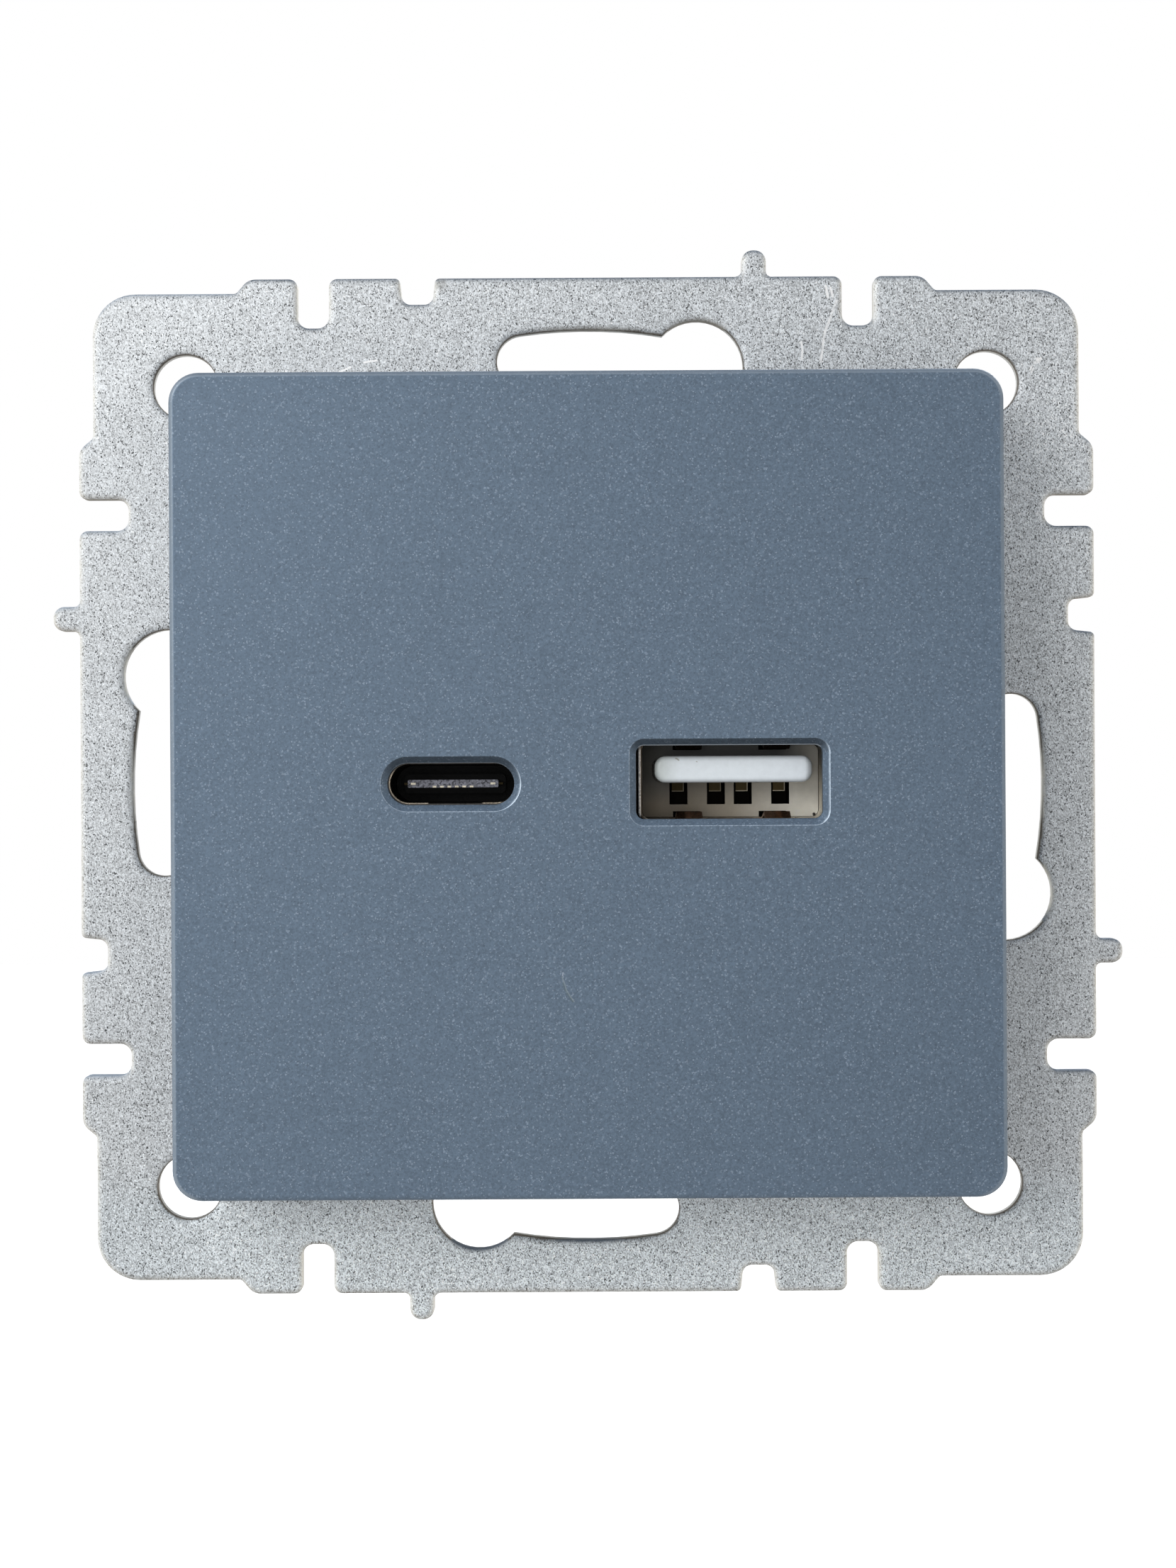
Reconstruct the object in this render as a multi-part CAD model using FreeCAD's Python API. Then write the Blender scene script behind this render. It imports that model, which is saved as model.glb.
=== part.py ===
import FreeCAD, Part
import math
import os

# Flush-mounting USB charging socket: stamped steel support frame, square cover
# plate with a type C and a type A port, charger module behind it.
# Millimetres. +X right and +Z up as seen from the room, the front faces -Y.
# Origin: centre of the steel frame's rear (wall side) face.

# ---------------------------------------------------------------- dimensions
STEEL_T = 1.0                 # sheet thickness of the support frame
EDGE = 35.5                   # half width over the ganging edges (71 mm pitch)
CORNER = 34.5                 # half width at the set-back corners
CORNER_R = 3.0
HOLE_PITCH = 56.0             # corner fixing holes, square pattern
HOLE_R = 2.25
SLOT_R = 30.0                 # keyhole slots lie on the 60 mm box-screw circle
SLOT_HALF = 1.85
KEY_R = 3.27                  # round end of the keyhole
KEY_POS = (7.75, 29.19)
WINDOW = 38.6                 # square window for the module
WINDOW_R = 2.0

COVER_W = 55.65               # cover plate, width and height
COVER_H = 55.2
COVER_R = 2.0
COVER_Y = -10.8               # front face
COVER_T = 1.8
COVER_EDGE_R = 0.35
SKIRT_T = 1.6
SKIRT_Y = -2.5                # rear rim of the cover's skirt

C_PORT = (-9.15, 0.10)        # centres of the port openings in the cover
A_PORT = (9.43, 0.14)
C_OPEN = (8.48, 2.8)          # type C opening in the cover
A_OPEN = (12.48, 4.92)        # type A opening in the cover
A_OPEN_R = 0.55
PORT_CHAMFER = 0.44
PORT_SOFT_R = 0.12            # rounding between the chamfer and the front
SHELL_Y = -9.5                # front of both receptacle shells
RIM_R = 0.13                  # rounding of the shells' front rims
C_CX, C_CZ = -9.09, 0.13      # receptacle axes, a little off the openings' centres
A_CX, A_CZ = 9.89, 0.25
BOARD1_Y = 4.5                # connector board, front face
BOARD_T = 1.6
BOARD2_Y = 22.0               # power board, front (component) face
TAIL_Y = 7.4                  # ends of the receptacles' tails

CARRIER_Y = -8.9              # front wall of the carrier
CARRIER_HALF = 22.0
FLANGE_HALF = 25.4
HOUSE_HALF = 21.0             # rear housing
HOUSE_R = 5.0
HOUSE_Y = 29.0
HOUSE_WALL = 1.5
REAR_WALL = 1.6
SCREW_X, SCREW_Z = 14.5, 23.3 # housing screws

POLE_X = 5.5                  # terminal axes left and right of the centre
POLE_Z = 14.5
SCREW_R = 1.45                # M3 clamp screw, plain shank
CAGE_HOLE_R = 1.50
WIRE_R = 1.5                  # wire entry
WIRE_Y = 18.6

V = FreeCAD.Vector


# ------------------------------------------------------------------- helpers
def box(x0, x1, y0, y1, z0, z1):
    return Part.makeBox(x1 - x0, y1 - y0, z1 - z0, V(x0, y0, z0))


def cyl_y(x, z, r, y0, y1):
    return Part.makeCylinder(r, y1 - y0, V(x, y0, z), V(0, 1, 0))


def cyl_z(x, y, r, z0, z1):
    return Part.makeCylinder(r, z1 - z0, V(x, y, z0), V(0, 0, 1))


def cyl_x(y, z, r, x0, x1):
    return Part.makeCylinder(r, x1 - x0, V(x0, y, z), V(1, 0, 0))


def loop(points):
    """Closed wire in the XZ plane from (x, z, corner radius) triples."""
    n = len(points)
    marks = []
    for i in range(n):
        p = V(points[i][0], 0, points[i][1])
        a = V(points[i - 1][0], 0, points[i - 1][1])
        b = V(points[(i + 1) % n][0], 0, points[(i + 1) % n][1])
        r = points[i][2]
        if r <= 0:
            marks.append((p, None, p))
            continue
        u = (a - p)
        u.normalize()
        v = (b - p)
        v.normalize()
        half = u.getAngle(v) / 2.0
        d = r / math.tan(half)
        w = u + v
        w.normalize()
        c = p + w * (r / math.sin(half))
        marks.append((p + u * d, c - w * r, p + v * d))
    edges = []
    for i in range(n):
        t1, mid, t2 = marks[i]
        if mid is not None:
            edges.append(Part.Arc(t1, mid, t2).toShape())
        nxt = marks[(i + 1) % n][0]
        if (nxt - t2).Length > 1e-6:
            edges.append(Part.LineSegment(t2, nxt).toShape())
    return Part.Wire(edges)


def prism(points, y0, y1):
    face = Part.Face(loop(points))
    face.translate(V(0, y0, 0))
    return face.extrude(V(0, y1 - y0, 0))


def rr(cx, cz, w, h, r, y0, y1):
    """Rounded rectangle in XZ, extruded along Y."""
    x, z = w / 2.0, h / 2.0
    return prism([(cx - x, cz - z, r), (cx - x, cz + z, r),
                  (cx + x, cz + z, r), (cx + x, cz - z, r)], y0, y1)


def profile_x(points, x0, x1):
    """Polygon of (y, z) points extruded along X."""
    pts = [V(x0, y, z) for y, z in points]
    pts.append(pts[0])
    return Part.Face(Part.makePolygon(pts)).extrude(V(x1 - x0, 0, 0))


def fuse(shapes):
    s = shapes[0]
    if len(shapes) > 1:
        s = s.fuse(shapes[1:])
    return s.removeSplitter()


def front_edges(shape, y, inside=None):
    """Edges that lie wholly in the plane of constant y."""
    out = []
    for e in shape.Edges:
        b = e.BoundBox
        if abs(b.YMin - y) < 1e-5 and abs(b.YMax - y) < 1e-5:
            if inside is None or inside(b):
                out.append(e)
    return out


def turned(points, k):
    """Points turned k quarter turns clockwise as seen from the front."""
    out = []
    for x, z, r in points:
        for _ in range(k):
            x, z = z, -x
        out.append((x, z, r))
    return out


def save(name, shape):
    if isinstance(shape, (list, tuple)):
        shape = Part.makeCompound(list(shape))
    n = len(shape.Solids)
    ok = shape.isValid()
    print("%-22s solids %2d  valid %s  volume %9.3f" % (name, n, ok, sum(s.Volume for s in shape.Solids)))
    if n == 1:
        shape = shape.Solids[0]
    shape.exportStep("parts/%s.step" % name)


# ------------------------------------------------------------- support frame
def make_support_frame():
    # one side of the outline, seen from the front, left to right along the top
    side = [
        (-CORNER, CORNER, CORNER_R),
        (-24.45, CORNER, 0.40), (-23.60, EDGE, 1.10),
        (-20.15, EDGE, 0.60), (-20.15, 32.05, 0.80),
        (-17.95, 32.05, 0.80), (-17.95, EDGE, 0.60),
        (-13.00, EDGE, 0.35), (-12.80, 33.67, 0.65),
        (-10.70, 33.67, 0.65), (-10.50, EDGE, 0.35),
        (10.95, EDGE, 0.50), (10.95, 37.35, 0.78),
        (12.65, 37.35, 0.78), (12.65, EDGE, 0.40),
        (17.95, EDGE, 0.60), (17.95, 32.05, 0.80),
        (20.15, 32.05, 0.80), (20.15, EDGE, 0.60),
        (23.60, EDGE, 1.10), (24.45, CORNER, 0.40),
    ]
    outline = []
    for k in range(4):
        outline += turned(side, k)
    plate = prism(outline, -STEEL_T, 0.0)

    # keyhole slot at the top: arc slot on the 60 mm circle with a round end
    ring = cyl_y(0, 0, SLOT_R + SLOT_HALF, -2, 1).cut(cyl_y(0, 0, SLOT_R - SLOT_HALF, -2, 1))
    a0, a1 = math.radians(-8.38), math.radians(14.9)
    wedge = prism([(0, 0, 0), (60 * math.sin(a0), 60 * math.cos(a0), 0),
                   (60 * math.sin(a1), 60 * math.cos(a1), 0)], -2, 1)
    slot = ring.common(wedge)
    slot = slot.fuse([cyl_y(SLOT_R * math.sin(a0), SLOT_R * math.cos(a0), SLOT_HALF, -2, 1),
                      cyl_y(KEY_POS[0], KEY_POS[1], KEY_R, -2, 1)]).removeSplitter()
    tools = []
    for k in range(4):
        s = slot.copy()
        s.rotate(V(0, 0, 0), V(0, 1, 0), 90.0 * k)
        tools.append(s)
    for x in (-1, 1):
        for z in (-1, 1):
            tools.append(cyl_y(x * HOLE_PITCH / 2, z * HOLE_PITCH / 2, HOLE_R, -2, 1))
            tools.append(cyl_y(x * SCREW_X, z * SCREW_Z, 1.35, -2, 1))
    tools.append(rr(0, 0, WINDOW, WINDOW, WINDOW_R, -2, 1))
    plate = plate.cut(tools)
    # die roll on the punch side of every edge
    try:
        rolled = plate.makeFillet(0.18, front_edges(plate, -STEEL_T))
        if rolled.isValid() and len(rolled.Solids) == 1:
            plate = rolled
        else:
            print("support_frame: rolled edge left out")
    except Exception as err:
        print("support_frame: rolled edge left out", err)
    return plate


# --------------------------------------------------------------- front cover
def make_cover():
    body = rr(0, 0, COVER_W, COVER_H, COVER_R, COVER_Y, SKIRT_Y)
    body = body.makeFillet(COVER_EDGE_R, front_edges(body, COVER_Y))
    body = body.cut(rr(0, 0, COVER_W - 2 * SKIRT_T, COVER_H - 2 * SKIRT_T, 0.8, COVER_Y + COVER_T, SKIRT_Y + 1))
    # port openings with a chamfered mouth
    body = body.cut([rr(C_PORT[0], C_PORT[1], C_OPEN[0], C_OPEN[1], C_OPEN[1] / 2 - 0.001, -12, 0),
                     rr(A_PORT[0], A_PORT[1], A_OPEN[0], A_OPEN[1], A_OPEN_R, -12, 0)])
    near = lambda b: b.XMin > -20 and b.XMax < 20 and b.ZMin > -6 and b.ZMax < 6
    body = body.makeChamfer(PORT_CHAMFER, front_edges(body, COVER_Y, near))
    try:
        soft = body.makeFillet(PORT_SOFT_R, front_edges(body, COVER_Y, near))
        if soft.isValid() and len(soft.Solids) == 1:
            body = soft
        else:
            print("front_cover: port rounding left out")
    except Exception as err:
        print("front_cover: port rounding left out", err)
    # clearance pockets behind the openings for the receptacle shells
    body = body.cut([rr(C_CX, C_CZ, 10.3, 4.5, 2.2, COVER_Y + 1.2, COVER_Y + COVER_T + 0.5),
                     rr(A_CX, A_CZ, 14.4, 7.0, 1.0, COVER_Y + 1.2, COVER_Y + COVER_T + 0.5)])
    # four snap legs inside the skirt, hooked behind the carrier's lugs
    y0 = COVER_Y + COVER_T - 0.3
    leg = fuse([box(23.1, 24.3, y0, -3.6, -4.0, 4.0),
                profile_x([(-4.9, -4.0), (-3.9, -4.0), (-3.9, 4.0), (-4.9, 4.0)], 22.35, 23.3),
                box(24.2, 26.3, y0, -6.5, -0.5, 0.5)])
    parts = [body]
    for k in range(4):
        s = leg.copy()
        s.rotate(V(0, 0, 0), V(0, 1, 0), 90.0 * k)
        parts.append(s)
    return fuse(parts)


# ------------------------------------------------------------------- carrier
def make_carrier():
    h = CARRIER_HALF
    outer = fuse([rr(0, 0, 2 * h, 2 * h, 3.0, CARRIER_Y, -STEEL_T),
                  rr(0, 0, 2 * FLANGE_HALF, 2 * FLANGE_HALF, 3.0, -2.6, -STEEL_T)])
    bosses = [cyl_y(x * SCREW_X, z * SCREW_Z, 2.05, -7.0, -STEEL_T) for x in (-1, 1) for z in (-1, 1)]
    outer = outer.fuse(bosses)
    outer = outer.cut(rr(0, 0, 40.8, 40.8, 1.6, CARRIER_Y + 1.6, 0))
    lugs = []
    lug = box(h - 0.2, h + 0.8, -6.0, -5.0, -4.5, 4.5)
    for k in range(4):
        s = lug.copy()
        s.rotate(V(0, 0, 0), V(0, 1, 0), 90.0 * k)
        lugs.append(s)
    # posts that press the connector board against the housing's columns
    posts = [box(x - 2, x + 2, CARRIER_Y + 1.4, BOARD1_Y, z - 2, z + 2)
             for x in (-16.4, 16.4) for z in (-16.4, 16.4)]
    # collars that guide the two receptacles
    collars = [rr(C_CX, C_CZ, 12.0, 6.2, 2.2, CARRIER_Y + 1.4, -3.5),
               rr(A_CX, A_CZ, 16.0, 8.6, 1.2, CARRIER_Y + 1.4, -3.5)]
    # ribs between the collars and the walls
    ribs = [box(-0.6, 0.6, CARRIER_Y + 1.4, -4.5, -20.6, 20.6),
            box(-20.6, 20.6, CARRIER_Y + 1.4, -4.5, 12.0, 13.0),
            box(-20.6, 20.6, CARRIER_Y + 1.4, -4.5, -13.0, -12.0)]
    body = outer.fuse(lugs + posts + collars + ribs).removeSplitter()
    cuts = [cyl_y(x * SCREW_X, z * SCREW_Z, 1.1, -6.2, 0) for x in (-1, 1) for z in (-1, 1)]
    cuts += [rr(C_CX, C_CZ, 9.1, 3.32, 1.65, -10, 0), rr(A_CX, A_CZ, 13.3, 5.92, 1.0, -10, 0)]
    return body.cut(cuts).removeSplitter()


# -------------------------------------------------------------- rear housing
def make_rear_housing():
    h = HOUSE_HALF
    outer = fuse([rr(0, 0, 2 * h, 2 * h, HOUSE_R, 0, HOUSE_Y),
                  rr(0, 0, 2 * h + 3.2, 2 * h + 3.2, HOUSE_R + 1.5, 0, 2.2)]
                 + [cyl_y(x * SCREW_X, z * SCREW_Z, 2.3, 0, 2.2) for x in (-1, 1) for z in (-1, 1)]
                 + [box(x * SCREW_X - 2.3, x * SCREW_X + 2.3, 0, 2.2, min(z * 21.5, z * SCREW_Z), max(z * 21.5, z * SCREW_Z))
                    for x in (-1, 1) for z in (-1, 1)])
    outer = outer.makeFillet(0.6, front_edges(outer, HOUSE_Y))
    i = h - HOUSE_WALL
    body = outer.cut(rr(0, 0, 2 * i, 2 * i, 3.5, -1, HOUSE_Y - REAR_WALL))
    # corner columns behind the connector board
    y1 = HOUSE_Y - REAR_WALL + 0.3
    adds = [box(x - 2, x + 2, BOARD1_Y + BOARD_T, y1, z - 2, z + 2)
            for x in (-16.4, 16.4) for z in (-16.4, 16.4)]
    # webs that tie the columns to the side walls
    adds += [box(min(s * 18.2, s * 19.8), max(s * 18.2, s * 19.8), BOARD1_Y + BOARD_T, y1, z - 0.6, z + 0.6)
             for s in (-1, 1) for z in (-16.4, 16.4)]
    # ledges and catches for the power board
    for s in (-1, 1):
        adds.append(box(min(s * 18.4, s * 19.8), max(s * 18.4, s * 19.8), BOARD2_Y + BOARD_T, y1, -9.0, 3.0))
        adds.append(profile_x([(20.6, -6.0), (21.95, -6.0), (21.95, -2.0), (20.6, -2.0)],
                              min(s * 19.05, s * 19.8), max(s * 19.05, s * 19.8)))
    # moulded stiffening ribs outside, on the two side walls
    for s in (-1, 1):
        for z in (-11.0, 11.0):
            adds.append(box(min(s * 20.8, s * 21.5), max(s * 20.8, s * 21.5), 2.0, 26.0, z - 0.6, z + 0.6))
    body = body.fuse(adds).removeSplitter()
    # opening for the terminal block in the rear and top walls
    cuts = [box(-11.6, 11.6, 12.3, HOUSE_Y + 1, 8.4, h + 1),
            rr(0, -7.0, 26.0, 16.0, 1.0, HOUSE_Y - 0.25, HOUSE_Y + 1)]
    cuts += [cyl_y(x * SCREW_X, z * SCREW_Z, 1.3, -1, 3) for x in (-1, 1) for z in (-1, 1)]
    return body.cut(cuts).removeSplitter()


def make_housing_screws():
    out = []
    for x in (-1, 1):
        for z in (-1, 1):
            cx, cz = x * SCREW_X, z * SCREW_Z
            head = cyl_y(cx, cz, 2.0, 2.2, 3.6)
            head = head.makeFillet(0.5, [e for e in head.Edges if abs(e.BoundBox.YMin - 3.6) < 1e-6 and abs(e.BoundBox.YMax - 3.6) < 1e-6])
            s = fuse([cyl_y(cx, cz, 1.1, -5.6, 2.3), head])
            s = s.cut([box(cx - 1.3, cx + 1.3, 2.8, 4, cz - 0.25, cz + 0.25),
                       box(cx - 0.25, cx + 0.25, 2.8, 4, cz - 1.3, cz + 1.3)])
            out.append(s)
    return out


# --------------------------------------------------------- type A receptacle
A_TONGUE_W, A_TONGUE_H = 10.64, 1.80
A_TONGUE_X = A_CX - 0.08
A_TONGUE_Z = A_CZ + 2.56 - 0.90 - A_TONGUE_H / 2      # tongue axis, in the upper half
A_WALL_Y = -0.8                                       # face behind the tongue
A_CONTACT_X = (-3.56, -0.94, 0.94, 3.56)


def make_a_shell():
    body = rr(A_CX, A_CZ, 13.1, 5.72, 0.85, SHELL_Y, 3.9).cut(
        rr(A_CX, A_CZ, 12.5, 5.12, 0.55, SHELL_Y - 1, 5))
    body = body.makeFillet(RIM_R, front_edges(body, SHELL_Y))
    cuts, adds = [], []
    for dx in (-3.0, 3.0):
        for s in (-1, 1):
            zi = A_CZ + s * 2.56
            zo = A_CZ + s * 2.86
            x0, x1 = A_CX + dx - 1.35, A_CX + dx + 1.35
            cuts.append(box(x0, x1, -7.4, -2.4, min(zi, zo) - 0.1, max(zi, zo) + 0.1))
            # spring finger, rooted at the rear of its window and bowed inwards
            t = 0.24
            pts = [(-2.3, zo), (-2.3, zo - s * t), (-4.6, zi - s * 0.16 - s * 0.10), (-5.8, zi - s * 0.34 - s * 0.10),
                   (-7.0, zi + s * 0.02), (-7.0, zi + s * 0.02 + s * t), (-5.8, zi - s * 0.34 - s * 0.10 + s * t),
                   (-4.6, zi - s * 0.16 - s * 0.10 + s * t)]
            adds.append(profile_x(pts, A_CX + dx - 0.88, A_CX + dx + 0.88))
    body = body.cut(cuts)
    for x in (-6.55, 6.25):
        for z in (-1.7, 0.7):
            adds.append(box(A_CX + x, A_CX + x + 0.3, 3.8, TAIL_Y, A_CZ + z, A_CZ + z + 1.0))
    return fuse([body] + adds)


def make_a_contacts():
    out = []
    zt = A_TONGUE_Z - A_TONGUE_H / 2
    for i, dx in enumerate(A_CONTACT_X):
        x = A_CX + dx
        y0 = -8.0 if i in (0, 3) else -7.0
        # blade on the underside of the tongue, step down in the window, tail
        out.append(fuse([box(x - 0.5, x + 0.5, y0, 0.9, zt, zt + 0.25),
                         box(x - 0.42, x + 0.42, 0.65, 0.9, zt - 0.62, zt + 0.25),
                         box(x - 0.3, x + 0.3, 0.65, TAIL_Y, zt - 0.62, zt - 0.32)]))
    return out


def make_a_insulator(contacts):
    zt = A_TONGUE_Z - A_TONGUE_H / 2
    tongue = rr(A_TONGUE_X, A_TONGUE_Z, A_TONGUE_W, A_TONGUE_H, 0.72, -8.5, 0)
    tongue = tongue.makeFillet(0.38, front_edges(tongue, -8.5))
    wall = rr(A_CX, A_CZ, 12.44, 5.06, 0.5, A_WALL_Y, 4.4)
    body = fuse([tongue, wall])
    cuts = []
    for dx in A_CONTACT_X:
        x = A_CX + dx
        cuts.append(box(x - 0.63, x + 0.63, A_WALL_Y - 0.01, 2.4, zt - 1.52, zt))
    for dx in (-3.0, 3.0):
        for s in (-1, 1):
            z = A_CZ + s * 2.56
            cuts.append(box(A_CX + dx - 0.95, A_CX + dx + 0.95, A_WALL_Y - 0.01, 2.0, min(z, z - s * 0.42), max(z, z - s * 0.42)))
    return body.cut(cuts + list(contacts)).removeSplitter()


# --------------------------------------------------------- type C receptacle
C_CONTACT_X = [(-2.75 + 0.5 * i) for i in range(12)]
C_TIP_Y = -8.4                # front of the tongue


def make_c_shell():
    body = rr(C_CX, C_CZ, 8.94, 3.16, 1.579, SHELL_Y, 3.9).cut(
        rr(C_CX, C_CZ, 8.34, 2.56, 1.279, SHELL_Y - 1, 5))
    body = body.makeFillet(RIM_R, front_edges(body, SHELL_Y))
    adds = []
    for x in (-3.2, 2.2):
        for z in (-1.58, 1.28):
            adds.append(box(C_CX + x, C_CX + x + 1.0, 3.8, TAIL_Y, C_CZ + z, C_CZ + z + 0.3))
    return fuse([body] + adds)


def make_c_contacts():
    out = []
    for dx in C_CONTACT_X:
        x = C_CX + dx
        for s in (-1, 1):
            z0, z1 = sorted((C_CZ + s * 0.14, C_CZ + s * 0.26))
            # the six middle contacts of the lower row reach the tongue's front edge
            y0 = C_TIP_Y - 0.01 if s < 0 and abs(dx) < 1.3 else -8.15
            out.append(box(x - 0.125, x + 0.125, y0, BOARD1_Y, z0, z1))
    return out


def make_c_mid_plate():
    body = rr(C_CX, C_CZ, 5.8, 0.14, 0.0, -8.2, -4.6)
    # latch ears at the sides, and two tips that show in the tongue's front face
    ears = [box(C_CX + s * 3.065 - 0.265, C_CX + s * 3.065 + 0.265, -7.6, -5.2, C_CZ - 0.07, C_CZ + 0.07) for s in (-1, 1)]
    tips = [box(C_CX + s * 2.68 - 0.16, C_CX + s * 2.68 + 0.16, C_TIP_Y - 0.01, -8.1, C_CZ - 0.07, C_CZ + 0.07) for s in (-1, 1)]
    return fuse([body] + ears + tips)


def make_c_insulator(contacts, plate):
    tongue = rr(C_CX, C_CZ, 6.1, 0.52, 0.1, C_TIP_Y, 0)
    root = rr(C_CX, C_CZ, 6.9, 1.3, 0.3, -4.9, 0)
    wall = rr(C_CX, C_CZ, 8.28, 2.5, 1.249, -3.2, 4.4)
    return fuse([tongue, root, wall]).cut(list(contacts) + [plate]).removeSplitter()


# ------------------------------------------------------------------ terminals
def make_terminal_block():
    body = fuse([box(-11.5, 11.5, 12.4, HOUSE_Y, 8.5, HOUSE_HALF),
                 box(-12.9, 12.9, 11.0, 12.2, 8.5, 19.3),
                 box(-11.5, 11.5, 12.1, 12.5, 8.5, 19.3)])
    cuts = []
    for s in (-1, 1):
        x = s * POLE_X
        cuts += [box(x - 3.3, x + 3.3, 10.9, 26.2, 11.1, 17.9),
                 cyl_y(x, POLE_Z, 2.65, 26.1, 28.3),
                 cyl_y(x, POLE_Z, 2.0, 28.2, 30),
                 cyl_z(x, WIRE_Y, WIRE_R, 17.8, 22),
                 Part.makeCone(WIRE_R, WIRE_R + 0.41, 0.41, V(x, WIRE_Y, HOUSE_HALF - 0.4), V(0, 0, 1)),
                 box(x - 1.98, x + 1.98, 20.12, 21.08, 8.0, 11.2)]
    # barrier groove between the poles, in the rear face
    cuts.append(box(-0.6, 0.6, 26.5, 30, 8.4, 22))
    return body.cut(cuts).removeSplitter()


def make_bar(s):
    x = s * POLE_X
    return fuse([box(x - 1.9, x + 1.9, 20.2, 21.0, 4.6, 17.3),
                 box(x - 0.6, x + 0.6, 20.9, 24.8, 4.6, 5.4)])


def make_cage(s):
    x = s * POLE_X
    body = box(x - 3.0, x + 3.0, 15.8, 23.6, 11.5, 17.5)
    body = body.makeFillet(0.5, [e for e in body.Edges if e.BoundBox.ZLength > 5.9])
    body = body.cut([box(x - 2.15, x + 2.15, 17.0, 21.6, 11, 18),
                     cyl_y(x, POLE_Z, CAGE_HOLE_R, 21, 24)])
    return body.removeSplitter()


def make_clamp_screw(s):
    x = s * POLE_X
    head = cyl_y(x, POLE_Z, 2.35, 26.4, 28.1)
    head = head.makeChamfer(0.25, [e for e in head.Edges if abs(e.BoundBox.YMin - 28.1) < 1e-6 and abs(e.BoundBox.YMax - 28.1) < 1e-6])
    shank = cyl_y(x, POLE_Z, SCREW_R, 21.05, 26.5)
    shank = shank.makeChamfer(0.3, [e for e in shank.Edges if abs(e.BoundBox.YMin - 21.05) < 1e-6 and abs(e.BoundBox.YMax - 21.05) < 1e-6])
    body = fuse([head, shank])
    return body.cut([box(x - 2.5, x + 2.5, 27.2, 29, POLE_Z - 0.35, POLE_Z + 0.35),
                     box(x - 0.35, x + 0.35, 27.2, 29, POLE_Z - 1.3, POLE_Z + 1.3)])


# ------------------------------------------------------- electronics, inside
T_CX, T_CZ, T_CY = 5.5, -8.0, 15.2        # transformer centre


def make_transformer():
    x, z, y = T_CX, T_CZ, T_CY
    frame = box(x - 8, x + 8, y - 2.4, y + 2.4, z - 7.2, z + 7.2)
    frame = frame.cut([box(x + s * 3.9 - 1.5, x + s * 3.9 + 1.5, y - 3, y + 3, z - 5.2, z + 5.2) for s in (-1, 1)])
    halves = [frame.common(box(x - 9, x + 9, y - 3, y + 3, z, z + 8)),
              frame.common(box(x - 9, x + 9, y - 3, y + 3, z - 8, z))]
    halves = [h.Solids[0] for h in halves]
    bob = [box(x - 3.1, x + 3.1, y - 3.1, y + 3.1, z - 5.1, z + 5.1)]
    for s in (-1, 1):
        z0, z1 = sorted((z + s * 4.4, z + s * 5.1))
        bob.append(box(x - 5.3, x + 5.3, y - 5.7, y + 5.7, z0, z1))
        z0, z1 = sorted((z + s * 4.4, z + s * 8.6))
        bob.append(box(x - 8, x + 8, y + 2.5, y + 5.9, z0, z1))
        for dx in (-7.4, 7.4):
            z0, z1 = sorted((z + s * 6.4, z + s * 8.6))
            bob.append(box(x + dx - 0.6, x + dx + 0.6, y + 5.8, BOARD2_Y, z0, z1))
    bobbin = fuse(bob).cut(box(x - 2.45, x + 2.45, y - 2.45, y + 2.45, z - 9, z + 9))
    w = box(x - 5.1, x + 5.1, y - 5.1, y + 5.1, z - 4.35, z + 4.35)
    w = w.makeFillet(1.6, [e for e in w.Edges if e.BoundBox.ZLength > 8])
    winding = w.cut(box(x - 3.15, x + 3.15, y - 3.15, y + 3.15, z - 9, z + 9))
    pins = []
    for s in (-1, 1):
        for i in range(4):
            px = x - 6.0 + 4.0 * i
            pins.append(box(px - 0.3, px + 0.3, y + 4.0, 24.6, z + s * 7.6 - 0.3, z + s * 7.6 + 0.3))
    bobbin = bobbin.cut(pins)
    return halves, bobbin.removeSplitter(), winding.removeSplitter(), pins


def make_can(x, z, r, y0, lead):
    body = cyl_y(x, z, r, y0, BOARD2_Y - 0.3)
    tops = [e for e in body.Edges if abs(e.BoundBox.YMax - y0) < 1e-6]
    body = body.makeFillet(0.45, tops)
    body = body.fuse(cyl_y(x, z, r - 0.9, BOARD2_Y - 0.35, BOARD2_Y))
    groove = Part.makeTorus(r + 0.12, 0.42, V(x, BOARD2_Y - 2.0, z), V(0, 1, 0))
    body = body.cut(groove)
    leads = [cyl_y(x + s * lead, z, 0.3, BOARD2_Y - 0.5, 24.6) for s in (-1, 1)]
    return fuse([body] + leads)


def make_wire_bend(x, z, y_body, direction, reach):
    """Lead leaving a lying component along X, then bent down into the board."""
    x1 = x + direction * reach
    return fuse([cyl_x(y_body, z, 0.3, min(x, x1), max(x, x1)),
                 Part.makeSphere(0.3, V(x1, y_body, z)),
                 cyl_y(x1, z, 0.3, y_body, 24.4)])


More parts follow.
